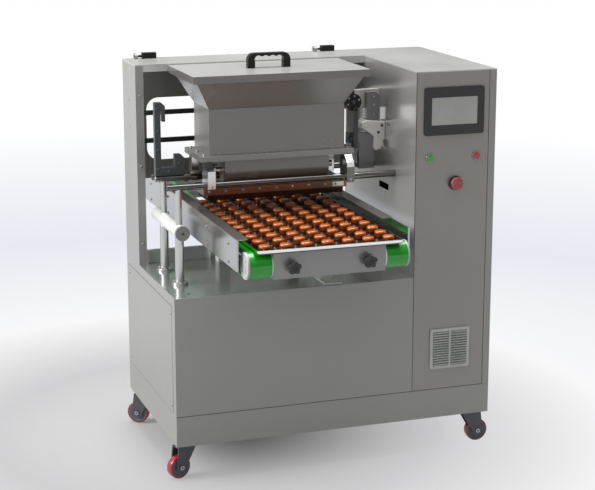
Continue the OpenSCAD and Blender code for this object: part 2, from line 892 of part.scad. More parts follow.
module nozzles() {
    row_l = (row_count - 1) * row_pitch;
    color(dark) placed() for (i = [0 : row_count - 1])
        translate([head_x - row_l / 2 + i * row_pitch, roller_y, nozzle_block_z0 - nozzle_h]) rotate_extrude()
            polygon([[port_r, 0], [nozzle_tip_r, 0], [nozzle_r, nozzle_h - nozzle_neck],
                     [nozzle_r, nozzle_h], [port_r, nozzle_h]]);
}

module strap_clamps() {
    edge = hopper_w / 2 + flange_side - clamp_side;
    z0 = rod_z - rod_r - clamp_wall;
    grip = rod_r + clamp_wall;
    slope = housing_z1 - rod_z - grip;
    color(steel) placed() for (x = [head_x - edge, head_x + edge - clamp_w]) difference() {
        slab_x(x, x + clamp_w) {
            polygon([[rod_front_y - grip, z0], [head_front + clamp_grip, z0],
                     [head_front + clamp_grip, housing_z1],
                     [rod_front_y - grip + slope, housing_z1], [rod_front_y - grip, rod_z + grip]]);
            polygon([[rod_rear_y - grip, z0], [rod_rear_y + grip, z0], [rod_rear_y + grip, housing_z1],
                     [rod_rear_y - grip, housing_z1]]);
        }
        for (y = [rod_front_y, rod_rear_y]) bar_x(x - cut, x + clamp_w + cut, y, rod_z, rod_r + running_fit);
    }
}

module guide_rods() {
    color(steel) placed() for (y = [rod_front_y, rod_rear_y])
        bar_x(rod_left_x, tower_x + rod_stub, y, rod_z, rod_r);
}

module guide_posts() {
    color(steel) placed() for (y = [rod_front_y, rod_rear_y]) translate([post_x, y, 0]) {
        translate([0, 0, deck_z]) cylinder(r = post_foot_r, h = post_foot_h);
        translate([0, 0, deck_z]) cylinder(r = post_tube_r, h = cross_z - cross_r - deck_z);
        translate([0, 0, deck_z]) cylinder(r = post_rod_r, h = rod_lift - post_block / 2);
        difference() {
            translate([-post_block / 2, -post_block / 2, rod_z - post_block / 2]) cube(post_block);
            bar_x(-post_block, post_block, 0, rod_z, rod_r + running_fit);
        }
    }
}

module cross_tube() {
    color(steel) placed() difference() {
        bar_y(rod_front_y - cross_front, rod_rear_y + cross_rear, post_x, cross_z, cross_r);
        for (y = [rod_front_y, rod_rear_y]) translate([post_x, y, cross_z - cross_r - cut])
            cylinder(r = post_rod_r + running_fit, h = 2 * cross_r + 2 * cut);
    }
}

module side_brackets() {
    x1 = bracket_x0 + bracket_l;
    z0 = bracket_z0;
    z1 = bracket_z0 + bracket_arm_h;
    stop_z = bracket_z0 + bracket_stop_h;
    hook_x = bracket_x0 + bracket_hook_w;
    plate_x = tower_x - stop_plate_set;
    plate_z = drive_block_z0 + drive_block_h;
    plate_y = motor_y + bracket_base_t + drive_block_t / 2;
    color(dark) placed() {
        span([post_x - post_block / 2, rod_front_y - post_block / 2, z0 - bracket_base_t],
             [post_x + post_block / 2, rod_rear_y + post_block / 2, z0]);
        slab_y(bracket_y - bracket_t / 2, bracket_y + bracket_t / 2) {
            translate([bracket_x0, z0]) square([bracket_l, bracket_foot_h]);
            translate([bracket_x0, z0]) square([bracket_arm_w, bracket_arm_h]);
            polygon([[x1 - bracket_stop_w, z0], [x1, z0], [x1, stop_z - bracket_chamfer],
                     [x1 - bracket_chamfer, stop_z], [x1 - bracket_stop_w, stop_z]]);
            polygon([[bracket_x0, z1], [hook_x - bracket_chamfer, z1], [hook_x, z1 - bracket_chamfer],
                     [hook_x, z1 - bracket_tip_h], [hook_x - bracket_tip_w, z1 - bracket_tip_h],
                     [hook_x - bracket_tip_w, z1 - bracket_hook_h], [bracket_x0, z1 - bracket_hook_h]]);
        }
        slab_y(plate_y - stop_plate_t / 2, plate_y + stop_plate_t / 2)
            polygon([[plate_x - stop_plate_w, plate_z], [plate_x, plate_z],
                     [plate_x, plate_z + stop_plate_h - stop_plate_cut],
                     [plate_x - stop_plate_cut, plate_z + stop_plate_h],
                     [plate_x - stop_plate_w, plate_z + stop_plate_h]]);
    }
}

module drive_bracket() {
    y0 = motor_y + bracket_base_t;
    block_x = tower_x - drive_block_w;
    color(steel) placed() {
        span([block_x, y0, drive_block_z0], [tower_x, y0 + drive_block_t, drive_block_z0 + drive_block_h]);
        span([drive_x - lever_w * lever_boss_share, y0, lever_z - lever_arm_h / 2],
             [block_x, y0 + drive_block_t / 2, lever_z + lever_arm_h / 2]);
        span([drive_x - motor_plate_h / 2, motor_y + motor_l, crank_z - motor_plate_h / 2],
             [tower_x, motor_y + motor_l + motor_plate_t, crank_z + motor_plate_h / 2]);
        bar_y(crank_y, y0, drive_x, lever_z, drive_pin_r);
    }
}

module feed_motor() {
    color(dark) placed() {
        bar_y(motor_y, motor_y + motor_l, drive_x, crank_z, motor_r);
        bar_y(crank_y - pin_head, motor_y, drive_x, crank_z, drive_pin_r);
    }
}

module drive_crank() {
    color(black) placed() difference() {
        union() {
            bar_y(crank_y, crank_y + crank_t, drive_x, crank_z, crank_r);
            bar_y(link_y - pin_head, crank_y, crank_pin_x, crank_pin_z, crank_pin_r);
        }
        bar_y(crank_y - cut, crank_y + crank_t + cut, drive_x, crank_z, drive_pin_r + running_fit);
    }
}

module link_rod() {
    color(steel) placed() difference() {
        union() {
            for (z = [crank_pin_z, crank_pin_z - link_l])
                bar_y(link_y, link_y + link_t, crank_pin_x, z, link_w / 2);
            span([crank_pin_x - link_w / 2, link_y, crank_pin_z - link_l],
                 [crank_pin_x + link_w / 2, link_y + link_t, crank_pin_z]);
        }
        bar_y(link_y - cut, link_y + link_t + cut, crank_pin_x, crank_pin_z, crank_pin_r + running_fit);
        bar_y(link_y - cut, link_y + link_t + cut, crank_pin_x, crank_pin_z - link_l, crank_pin_r + slip_fit);
    }
}

module drive_lever() {
    pin_z = crank_pin_z - link_l;
    web = lever_w * lever_web_share;
    color(dark) placed() {
        slab_y(crank_y, crank_y + crank_t) difference() {
            union() {
                translate([drive_x, lever_z]) circle(lever_w / 2);
                translate([crank_pin_x, pin_z]) circle(lever_w / 2);
                translate([drive_x, lever_z]) rotate(crank_angle) translate([-web / 2, -crank_arm])
                    square([web, crank_arm]);
            }
            translate([drive_x, lever_z]) circle(drive_pin_r + running_fit);
        }
        bar_y(link_y - pin_head, crank_y, crank_pin_x, pin_z, lever_pin_r);
    }
}

module conveyor_frame() {
    back_y = rear_reach - cross_plate_set - cross_plate_t;
    color(steel) placed() {
        for (s = [-1, 1]) difference() {
            union() {
                translate([head_x + s * (side_x + side_t / 2), 0, 0]) slab_x(-side_t / 2, side_t / 2)
                    translate([pulley_front_y - side_over, belt_top - side_low])
                        square([pulley_rear_y - pulley_front_y + 2 * side_over, side_low + side_high]);
                translate([head_x + s * (inner_x + inner_t / 2), 0, 0]) slab_x(-inner_t / 2, inner_t / 2)
                    translate([cross_plate_y + cross_plate_t, inner_z1 - inner_h])
                        square([back_y - cross_plate_y - cross_plate_t, inner_h]);
            }
            for (y = [pulley_front_y, pulley_rear_y])
                bar_x(head_x - side_x - side_t - cut, head_x + side_x + side_t + cut, y, pulley_z,
                      shaft_r + running_fit);
        }
        difference() {
            span([head_x - inner_x - inner_t, cross_plate_y, cross_plate_z1 - cross_plate_h],
                 [head_x + inner_x + inner_t, cross_plate_y + cross_plate_t, cross_plate_z1]);
            for (s = [-1, 1])
                bar_y(cross_plate_y - cut, cross_plate_y + cross_plate_t + cut,
                      head_x + s * knob_side, knob_z, knob_stud_r + running_fit);
        }
        span([head_x - inner_x - inner_t, back_y, cross_plate_z1 - cross_plate_h],
             [head_x + inner_x + inner_t, back_y + cross_plate_t, cross_plate_z1]);
    }
}

module conveyor_belts() {
    color(green) placed() for (s = [-1, 1])
        slab_x(head_x + s * belt_x - belt_w / 2, head_x + s * belt_x + belt_w / 2) difference() {
            stadium(belt_r);
            stadium(belt_r - belt_t);
        }
}

// Pair of belt pulleys on one shaft
module pulley_pair(y) {
    for (s = [-1, 1])
        bar_x(head_x + s * belt_x - belt_w / 2, head_x + s * belt_x + belt_w / 2, y, pulley_z, pulley_r);
    bar_x(head_x - side_x - side_t, head_x + side_x + side_t, y, pulley_z, shaft_r);
}

module front_pulleys() { color(white) placed() pulley_pair(pulley_front_y); }

module rear_pulleys() { color(white) placed() pulley_pair(pulley_rear_y); }

module guide_rails() {
    z = belt_top + side_high;
    rear = pulley_rear_y + side_over;
    outer = side_x + side_t;
    color(steel) placed() {
        span([head_x - outer, pulley_front_y - side_over, z], [head_x - outer + rail_w, rear, z + rail_t]);
        span([head_x + outer - rail_w, -dark_rail_front, z], [head_x + outer, rear, z + rail_t]);
    }
}

// Star knob with its stud, at a distance from the middle of the front cross plate
module star_knob(dx) {
    y0 = cross_plate_y - knob_boss_t;
    x = head_x + dx;
    lobe_set = knob_r - knob_lobe_r;
    bar_y(y0, cross_plate_y, x, knob_z, knob_boss_r);
    bar_y(y0 - knob_t, y0, x, knob_z, lobe_set);
    for (i = [0 : knob_lobes - 1]) {
        a = 360 * i / knob_lobes;
        bar_y(y0 - knob_t, y0, x + lobe_set * sin(a), knob_z + lobe_set * cos(a), knob_lobe_r);
    }
    bar_y(cross_plate_y, cross_plate_y + knob_stud_l, x, knob_z, knob_stud_r);
}

module left_knob() { color(black) placed() star_knob(-knob_side); }

module right_knob() { color(black) placed() star_knob(knob_side); }

module conveyor_stands() {
    beam_z = inner_z1 - inner_h - stand_beam_h;
    leg = inner_x - stand_set - stand_w / 2;
    color(steel) placed() {
        for (y = [stand_front_y, stand_rear_y])
            span([head_x - inner_x - inner_t, y, beam_z],
                 [head_x + inner_x + inner_t, y + stand_w, beam_z + stand_beam_h]);
        for (s = [-1, 1]) translate([head_x + s * leg - stand_w / 2, stand_rear_y, deck_z])
            cube([stand_w, stand_w, beam_z - deck_z]);
        translate([head_x + foot_side - foot_w / 2, foot_front, deck_z]) cube([foot_w, foot_d, foot_t]);
        translate([head_x + foot_side - stand_w / 2, stand_front_y, deck_z])
            cube([stand_w, stand_w, beam_z - deck_z]);
    }
}

module baking_tray() {
    color(steel) placed() difference() {
        span([head_x - tray_w / 2, tray_y, tray_z], [head_x + tray_w / 2, tray_y + tray_l, tray_z + tray_h]);
        span([head_x - tray_w / 2 + tray_wall, tray_y + tray_wall, tray_z + tray_wall],
             [head_x + tray_w / 2 - tray_wall, tray_y + tray_l - tray_wall, tray_z + tray_h + cut]);
    }
}

module dough_pieces() {
    x0 = head_x - (row_count - 1) * row_pitch / 2;
    y0 = tray_y + (tray_l - (dough_rows - 1) * dough_pitch) / 2;
    color(dough_orange) placed() for (i = [0 : row_count - 1], j = [0 : dough_rows - 1])
        translate([x0 + i * row_pitch, y0 + j * dough_pitch, dough_z]) {
            cylinder(r = dough_r, h = dough_h * dough_skirt_share);
            translate([0, 0, dough_h * dough_skirt_share])
                cylinder(r1 = dough_r, r2 = dough_r * dough_top_share, h = dough_h * (1 - dough_skirt_share));
        }
}

module caster_plates() {
    color(dark) placed() for (c = caster_places) translate([c[0], c[1], 0]) difference() {
        union() {
            translate([-plate_w / 2, -plate_l / 2, caster_h - plate_t]) cube([plate_w, plate_l, plate_t]);
            translate([0, 0, caster_h - plate_t - race_h]) cylinder(r = race_r, h = race_h);
        }
        translate([0, 0, caster_h - plate_t - race_h - cut])
            cylinder(r = king_r + running_fit, h = race_h + cut);
    }
}

// Caster fork with its kingpin and axle bolt, turned about the swivel axis
module caster_fork(c) {
    half = wheel_w / 2 + fork_gap;
    color(dark) placed() translate([c[0], c[1], 0]) rotate([0, 0, c[2]]) {
        translate([0, 0, fork_top - fork_t]) cylinder(r = race_r, h = fork_t);
        translate([0, 0, fork_top - fork_t]) cylinder(r = king_r, h = fork_t + race_h);
        span([-race_r, -half - fork_t, fork_top - fork_t],
             [caster_trail + fork_tail, half + fork_t, fork_top]);
        for (y = [-half - fork_t, half]) {
            slab_y(y, y + fork_t) {
                polygon([[-race_r, fork_top], [caster_trail + fork_tail, fork_top],
                         [caster_trail + fork_w / 2, wheel_r], [caster_trail - fork_w / 2, wheel_r]]);
                translate([caster_trail, wheel_r]) circle(fork_w / 2);
            }
        }
        bar_y(-half - fork_t - axle_head, half + fork_t + axle_head, caster_trail, wheel_r, axle_r);
    }
}

module front_left_fork() { caster_fork(caster_places[0]); }

module front_right_fork() { caster_fork(caster_places[1]); }

module rear_left_fork() { caster_fork(caster_places[2]); }

module rear_right_fork() { caster_fork(caster_places[3]); }

// Caster wheel with a crowned tread and a bored hub
module caster_wheel(c) {
    color(red) placed() translate([c[0], c[1], 0]) rotate([0, 0, c[2]]) translate([caster_trail, 0, wheel_r])
        rotate([90, 0, 0]) difference() {
            union() {
                translate([0, 0, -wheel_w / 2 + tread_chamfer])
                    cylinder(r = wheel_r, h = wheel_w - 2 * tread_chamfer);
                translate([0, 0, -wheel_w / 2]) cylinder(r = wheel_r - tread_chamfer, h = wheel_w);
                translate([0, 0, -wheel_w / 2 - fork_gap + slip_fit])
                    cylinder(r = hub_r, h = wheel_w + 2 * fork_gap - 2 * slip_fit);
            }
            translate([0, 0, -wheel_w]) cylinder(r = axle_r + running_fit, h = 2 * wheel_w);
        }
}

module front_left_wheel() { caster_wheel(caster_places[0]); }

module front_right_wheel() { caster_wheel(caster_places[1]); }

module rear_left_wheel() { caster_wheel(caster_places[2]); }

module rear_right_wheel() { caster_wheel(caster_places[3]); }

base_frame();
front_panel();
left_side_panel();
left_access_panel();
right_side_panel();
rear_panel();
deck_plate();
tower_front_panel();
tower_inner_wall();
roof_panel();
rear_guard();
guard_bars();
guard_hinges();
hmi_bezel();
hmi_screen();
button_bezels();
start_button();
stop_button();
emergency_button();
fan_grille();
fan_frame();
fan_rotor();
hopper_body();
hopper_lid();
lid_handle();
hopper_flange();
roller_housing();
front_feed_roller();
rear_feed_roller();
nozzle_bar();
nozzles();
strap_clamps();
guide_rods();
guide_posts();
cross_tube();
side_brackets();
drive_bracket();
feed_motor();
drive_crank();
link_rod();
drive_lever();
conveyor_frame();
conveyor_belts();
front_pulleys();
rear_pulleys();
guide_rails();
left_knob();
right_knob();
conveyor_stands();
baking_tray();
dough_pieces();
caster_plates();
front_left_fork();
front_right_fork();
rear_left_fork();
rear_right_fork();
front_left_wheel();
front_right_wheel();
rear_left_wheel();
rear_right_wheel();
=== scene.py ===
import math

import bmesh
import bpy
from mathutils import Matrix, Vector


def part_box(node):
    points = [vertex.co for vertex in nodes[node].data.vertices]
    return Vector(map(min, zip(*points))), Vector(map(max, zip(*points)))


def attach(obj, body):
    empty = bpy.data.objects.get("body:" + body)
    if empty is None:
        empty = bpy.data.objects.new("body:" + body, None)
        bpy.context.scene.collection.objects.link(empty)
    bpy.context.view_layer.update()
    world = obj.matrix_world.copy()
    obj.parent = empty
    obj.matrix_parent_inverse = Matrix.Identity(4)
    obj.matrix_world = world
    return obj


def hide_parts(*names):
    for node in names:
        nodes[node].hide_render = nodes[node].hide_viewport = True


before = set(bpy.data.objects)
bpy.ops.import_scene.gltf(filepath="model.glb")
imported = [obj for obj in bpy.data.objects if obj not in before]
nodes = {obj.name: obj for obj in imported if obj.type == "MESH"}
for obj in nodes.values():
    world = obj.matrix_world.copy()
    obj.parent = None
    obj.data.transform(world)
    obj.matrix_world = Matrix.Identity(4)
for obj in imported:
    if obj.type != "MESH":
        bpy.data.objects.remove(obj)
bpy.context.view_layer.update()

# Studio: a pale floor that fades to white. It is seen darker near a point left of and behind the machine's middle,
# where its tone is a painted shadow. A soft sky that is brighter on the left and above, and two softboxes.
# The camera stands to the left of the machine's front, as in the photograph.
floor_size = 60.0
floor_colour = (0.48, 0.48, 0.485, 1.0)
# Centre of the floor's darker pool, left of and behind the machine's middle: the pool is a painted shadow.
shadow_pool_centre = (-0.26, 0.18, 0.0)
fade_end = 0.90
floor_reach = 6.0
# Floor tones by distance from that centre: the darker near ones are a painted shadow round the machine, the far
# ones the backdrop.
shadow_and_backdrop_tones = ((0.75, (0.62, 0.62, 0.63)), (1.40, (0.94, 0.94, 0.95)), (2.80, (0.80, 0.82, 0.88)),
               (5.40, (0.95, 0.96, 0.98)))
camera_place = (-1.7211, -4.9157, 1.9054)
camera_turn = (math.radians(90 - 13.55), 0.0, math.radians(-18.97))
camera_lens = 99.2


def add_node(tree, kind, operation=None, **values):
    """Adds a shader node with an operation and values for its sockets, whose spaces are written as _."""
    node = tree.nodes.new("ShaderNode" + kind)
    if operation:
        node.operation = operation
    for socket, value in values.items():
        node.inputs[socket.replace("_", " ")].default_value = value
    return node


def wire(*links):
    """Links nodes. Each link is a node, its output, the next node and its input."""
    for source, output, target, socket in links:
        source.id_data.links.new(source.outputs[output], target.inputs[socket])


scene = bpy.context.scene
scene.view_settings.view_transform = "Standard"

bpy.ops.mesh.primitive_plane_add(size=floor_size, location=(0, 0, 0))
floor = bpy.context.object
floor.name = "studio_floor"
floor_paint = bpy.data.materials.new("studio_floor_paint")
floor_paint.use_nodes = True
tree = floor_paint.node_tree
shader = tree.nodes["Principled BSDF"]
shader.inputs["Base Color"].default_value = floor_colour
shader.inputs["Roughness"].default_value = 0.45
coords = add_node(tree, "TexCoord")
shift = add_node(tree, "VectorMath", "SUBTRACT")
shift.inputs[1].default_value = shadow_pool_centre
reach = add_node(tree, "VectorMath", "LENGTH")
fade = add_node(tree, "MapRange", From_Max=fade_end)
fade.interpolation_type = "SMOOTHSTEP"
depth = add_node(tree, "MapRange", From_Max=floor_reach)
# Tone ramp by distance: its darker near stops are a painted shadow.
tone = add_node(tree, "ValToRGB")
tone.color_ramp.elements.remove(tone.color_ramp.elements[0])
for radius, colour in shadow_and_backdrop_tones:
    stop = tone.color_ramp.elements.new(radius / floor_reach)
    stop.color = (*colour, 1.0)
glow = add_node(tree, "Emission")
rays = add_node(tree, "LightPath")
seen = add_node(tree, "Math", "MAXIMUM")
seen_too = add_node(tree, "Math", "MAXIMUM")
share = add_node(tree, "Math", "MULTIPLY")
blend = add_node(tree, "MixShader")
wire((coords, "Object", shift, 0), (shift, "Vector", reach, 0), (reach, "Value", fade, "Value"),
     (reach, "Value", depth, "Value"), (depth, "Result", tone, "Fac"), (tone, "Color", glow, "Color"),
     (rays, "Is Camera Ray", seen, 0), (rays, "Is Glossy Ray", seen, 1), (seen, 0, seen_too, 0),
     (rays, "Is Transmission Ray", seen_too, 1), (fade, "Result", share, 0), (seen_too, 0, share, 1),
     (share, 0, blend, "Fac"), (shader, "BSDF", blend, 1), (glow, "Emission", blend, 2),
     (blend, "Shader", tree.nodes["Material Output"], "Surface"))
floor.data.materials.append(floor_paint)

sky = bpy.data.worlds.new("studio_sky")
scene.world = sky
sky.use_nodes = True
tree = sky.node_tree
tree.nodes.clear()
coords = add_node(tree, "TexCoord")
split = add_node(tree, "SeparateXYZ")
left_share = add_node(tree, "MapRange", From_Min=0.4, From_Max=-1.0, To_Min=0.15, To_Max=1.00)
top_share = add_node(tree, "MapRange", From_Min=0.1, From_Max=1.0, To_Min=0.0, To_Max=0.65)
sky_level = add_node(tree, "Math", "ADD")
soft_sky = add_node(tree, "Background")
white_back = add_node(tree, "Background", Color=(1.0, 1.0, 1.0, 1.0))
rays = add_node(tree, "LightPath")
seen = add_node(tree, "Math", "MAXIMUM")
pick = add_node(tree, "MixShader")
sky_out = add_node(tree, "OutputWorld")
wire((coords, "Generated", split, "Vector"), (split, "X", left_share, "Value"), (split, "Z", top_share, "Value"),
     (left_share, "Result", sky_level, 0), (top_share, "Result", sky_level, 1),
     (sky_level, 0, soft_sky, "Strength"), (rays, "Is Camera Ray", seen, 0),
     (rays, "Is Transmission Ray", seen, 1), (seen, 0, pick, "Fac"), (soft_sky, "Background", pick, 1),
     (white_back, "Background", pick, 2), (pick, "Shader", sky_out, "Surface"))


def softbox(name, place, aim, size, watts):
    """Square area lamp at a place, turned to look at a point."""
    bpy.ops.object.light_add(type="AREA", location=place)
    lamp = bpy.context.object
    lamp.name = name
    lamp.data.size = size
    lamp.data.energy = watts
    lamp.rotation_euler = (Vector(aim) - Vector(place)).to_track_quat("-Z", "Y").to_euler()


softbox("key_softbox", (-3.8, 0.1, 2.5), (0.0, 0.0, 0.8), 2.2, 165)
softbox("top_softbox", (0.3, 0.3, 4.3), (0.0, 0.1, 0.9), 2.6, 175)

bpy.ops.object.camera_add(location=camera_place, rotation=camera_turn)
camera = bpy.context.object
camera.data.sensor_fit = "HORIZONTAL"
camera.data.sensor_width = 36.0
camera.data.lens = camera_lens
scene.camera = camera

# Cabinet panels: folded stainless sheet, spot welded, with a fine grain along each sheet and faint
# cloudy patches where it has been wiped down.
grain_group = bpy.data.node_groups.new("sheet_grain", "ShaderNodeTree")
grain_group.interface.new_socket("Vector", in_out="INPUT", socket_type="NodeSocketVector")
for output in ("Streak", "Cloud"):
    grain_group.interface.new_socket(output, in_out="OUTPUT", socket_type="NodeSocketFloat")
group_in = grain_group.nodes.new("NodeGroupInput")
group_out = grain_group.nodes.new("NodeGroupOutput")
streak = add_node(grain_group, "TexNoise", Scale=1.0, Detail=3.0, Roughness=0.6)
cloud = add_node(grain_group, "TexNoise", Scale=3.5, Detail=4.0)
cloud_place = add_node(grain_group, "TexCoord")
wire((group_in, "Vector", streak, "Vector"), (cloud_place, "Object", cloud, "Vector"),
     (streak, "Fac", group_out, "Streak"), (cloud, "Fac", group_out, "Cloud"))


def spread_range(source, output, target, socket, low, high):
    """Feeds a socket with values from low to high, taken from the middle of a noise."""
    spread = add_node(source.id_data, "MapRange", From_Min=0.3, From_Max=0.7, To_Min=low, To_Max=high)
    wire((source, output, spread, "Value"), (spread, "Result", target, socket))


def bare_finish(name, colour, bump, bump_depth):
    """Material with a paint node and a relief node, both still without their noise."""
    finish = bpy.data.materials.new(name)
    finish.use_nodes = True
    tree = finish.node_tree
    shader = tree.nodes["Principled BSDF"]
    place = add_node(tree, "TexCoord")
    paint = add_node(tree, "VectorMath", "SCALE")
    paint.name = "paint"
    paint.inputs[0].default_value = colour
    relief = add_node(tree, "Bump", Strength=bump, Distance=bump_depth)
    wire((paint, "Vector", shader, "Base Color"), (relief, "Normal", shader, "Normal"))
    return finish, shader, place, paint, relief


def sheet_metal(name, colour, metallic, roughness, grain, bump=0.008, spread=0.012):
    """Grained metal, with streaks along the axis on which grain, the noise's scale, is smallest."""
    metal, shader, place, paint, relief = bare_finish(name, colour, bump, 0.001)
    shader.inputs["Metallic"].default_value = metallic
    stretch = add_node(metal.node_tree, "Mapping", Scale=grain)
    group = add_node(metal.node_tree, "Group")
    group.node_tree = grain_group
    both = add_node(metal.node_tree, "Math", "MULTIPLY")
    wire((place, "Object", stretch, "Vector"), (stretch, "Vector", group, "Vector"), (both, 0, paint, "Scale"),
         (group, "Streak", relief, "Height"))
    spread_range(group, "Streak", both, 0, 1.0 - spread, 1.0 + spread)
    spread_range(group, "Cloud", both, 1, 0.97, 1.03)
    spread_range(group, "Cloud", shader, "Roughness", roughness * 0.85, roughness * 1.2)
    return metal


def dress(finish, *names):
    """Gives CAD nodes a finish."""
    for name in names:
        nodes[name].data.materials.clear()
        nodes[name].data.materials.append(finish)


panel_metal = sheet_metal("panel_metal", (0.276, 0.276, 0.264), 0.3, 0.36, (8, 8, 900))
# The roof's base is lighter than the side panels' as painted light from above. Its lower roughness is real gloss.
roof_metal = sheet_metal("roof_metal", (0.46, 0.46, 0.45), 0.3, 0.22, (8, 900, 8))
tower_metal = sheet_metal("tower_metal", (0.266, 0.257, 0.237), 0.3, 0.32, (900, 8, 8))
dress(panel_metal, "base_frame", "front_panel", "rear_panel", "rear_guard")
dress(panel_metal, "left_side_panel", "left_access_panel", "right_side_panel")
dress(roof_metal, "roof_panel")
dress(tower_metal, "tower_front_panel")

# Panel screws: pan head steel screws that hold the access panel, the column's edge, the rear panel
# and the right side, each a turned head with a rounded edge and a dished socket.
panel_screw = (0.0042, 0.0022)
panel_lo, panel_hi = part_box("left_access_panel")
side_lo, side_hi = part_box("left_side_panel")
left_face = panel_lo.x
right_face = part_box("right_side_panel")[1].x
rear_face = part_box("rear_panel")[1].y
facing_left = (-1, 0, 0)
facing_right = (1, 0, 0)
facing_front = (0, -1, 0)
facing_back = (0, 1, 0)
screw_metal = sheet_metal("screw_metal", (0.34, 0.34, 0.33), 0.8, 0.30, (300, 300, 300))


def take(piece):
    """Selects one object alone and makes it the active one."""
    bpy.ops.object.select_all(action="DESELECT")
    piece.select_set(True)
    bpy.context.view_layer.objects.active = piece


def turned(name, rings, facets=32, place=(0, 0, 0), turn=(0, 0, 0)):
    """Disc drawn out along its axis ring by ring, each a radius and a height."""
    radius, height = rings[0]
    bpy.ops.mesh.primitive_circle_add(vertices=facets, radius=radius, fill_type="NGON", location=(0, 0, height))
    piece = bpy.context.object
    piece.name = name
    bpy.ops.object.mode_set(mode="EDIT")
    bpy.ops.mesh.select_all(action="SELECT")
    for next_radius, next_height in rings[1:]:
        bpy.ops.mesh.extrude_region_move(TRANSFORM_OT_translate={"value": (0, 0, next_height - height)})
        share = next_radius / radius
        bpy.ops.transform.resize(value=(share, share, 1.0), center_override=(0, 0, next_height))
        radius, height = next_radius, next_height
    bpy.ops.mesh.select_all(action="SELECT")
    bpy.ops.mesh.normals_make_consistent(inside=False)
    bpy.ops.object.mode_set(mode="OBJECT")
    bpy.ops.object.transform_apply()
    piece.rotation_euler = turn
    piece.location = place
    bpy.ops.object.transform_apply()
    return piece


def settle(piece, body, slot, finish, *replaced):
    """Smooths a piece, gives it its finish, and hangs it on its body in place of CAD nodes."""
    take(piece)
    bpy.ops.object.transform_apply()
    bpy.ops.object.shade_smooth_by_angle(angle=math.radians(35))
    flat_faces = piece.modifiers.new("flat_faces", "WEIGHTED_NORMAL")
    flat_faces.keep_sharp = True
    bpy.ops.object.modifier_apply(modifier=flat_faces.name)
    piece.data.materials.clear()
    piece.data.materials.append(finish)
    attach(piece, body)
    if replaced:
        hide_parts(*replaced)


def joined(pieces, name):
    """Joins pieces into one mesh."""
    bpy.ops.object.select_all(action="DESELECT")
    for piece in pieces:
        piece.select_set(True)
    bpy.context.view_layer.objects.active = pieces[0]
    bpy.ops.object.join()
    pieces[0].name = name
    return pieces[0]


def copies(pattern, places, name):
    """Copies a pattern to its places, joins the copies and removes the pattern."""
    made = []
    for place in places:
        take(pattern)
        bpy.ops.object.duplicate(linked=False)
        made.append(bpy.context.object)
        made[-1].location = place
    bpy.data.objects.remove(pattern)
    return joined(made, name)


def screw_heads(name, body, places, normal, size, finish=screw_metal, slot="bright_steel"):
    """Turned screw heads on a face with this normal. Their size is a radius and a height."""
    radius, height = size
    rings = [(radius, 0.0), (radius, height * 0.6), (radius * 0.8, height), (radius * 0.5, height),
             (radius * 0.42, height * 0.45)]
    pattern = turned(name, rings, 16, turn=Vector(normal).to_track_quat("Z", "Y").to_euler())
    settle(copies(pattern, places, name), body, slot, finish)


access_y = (panel_lo.y + 0.015, panel_hi.y - 0.015)
access_z = (panel_lo.z + 0.020, panel_hi.z - 0.026)
column_x = side_lo.x + 0.013
column_y = side_hi.y - 0.177
column_z = (0.66, 0.916, 1.145)
rear_x = (-0.49, -0.25, 0.0, 0.25, 0.49)
rear_z = (0.235, 0.575)
tower_x = (0.275, 0.49)
tower_z = (0.75, 0.95, 1.21)
right_y = (side_lo.y + 0.02, side_hi.y - 0.02)
right_z = (0.24, 0.70, 1.21)
access_places = [(left_face, y, z) for y in access_y for z in access_z]
column_places = [(column_x, column_y, z) for z in column_z]
rear_places = [(x, rear_face, z) for x in rear_x for z in rear_z]
rear_places += [(x, rear_face, z) for x in tower_x for z in tower_z]
right_places = [(right_face, y, z) for y in right_y for z in right_z]
for name, places, normal in (("access_screws", access_places, facing_left),
                             ("column_screws", column_places, facing_front),
                             ("rear_screws", rear_places, facing_back),
                             ("right_screws", right_places, facing_right)):
    screw_heads(name, "cabinet", places, normal, panel_screw)

# Panel joints: dark elastic sealing beads in the gaps between the sheets, along the plinth's top, down
# both sides of the tower's front and along the access panel. They are pressed in and trimmed flush.
joint_half = 0.0011
joint_proud = 0.0004
joint_edge = 0.0003


def moulding(name, colour, roughness, coat=0.0, grain=900.0, bump=0.06, patch_scale=14.0, shine=0.5):
    """Moulded plastic, rubber or paint with a fine skin and slow changes of tone."""
    plastic, shader, place, paint, relief = bare_finish(name, colour, bump, 0.0005)
    shader.inputs["Coat Weight"].default_value = coat
    shader.inputs["Specular IOR Level"].default_value = shine
    skin = add_node(plastic.node_tree, "TexNoise", Scale=grain, Detail=2.0)
    patch = add_node(plastic.node_tree, "TexNoise", Scale=patch_scale)
    wire((place, "Object", skin, "Vector"), (place, "Object", patch, "Vector"), (skin, "Fac", relief, "Height"))
    spread_range(patch, "Fac", paint, "Scale", 0.92, 1.08)
    spread_range(patch, "Fac", shader, "Roughness", roughness * 0.85, roughness * 1.2)
    return plastic


def plain_block(name, lo, hi):
    """Block between two corners, as a start for further shaping."""
    lo = Vector(lo)
    hi = Vector(hi)
    bpy.ops.mesh.primitive_cube_add(size=1.0, location=(lo + hi) / 2, scale=hi - lo)
    piece = bpy.context.object
    piece.name = name
    bpy.ops.object.transform_apply()
    return piece


def rounded_block(name, lo, hi, edge, segments=3):
    """Block between two corners with all its edges bevelled."""
    piece = plain_block(name, lo, hi)
    bpy.ops.object.mode_set(mode="EDIT")
    bpy.ops.mesh.select_all(action="SELECT")
    bpy.ops.mesh.bevel(offset=edge, segments=segments, affect="EDGES")
    bpy.ops.object.mode_set(mode="OBJECT")
    return piece


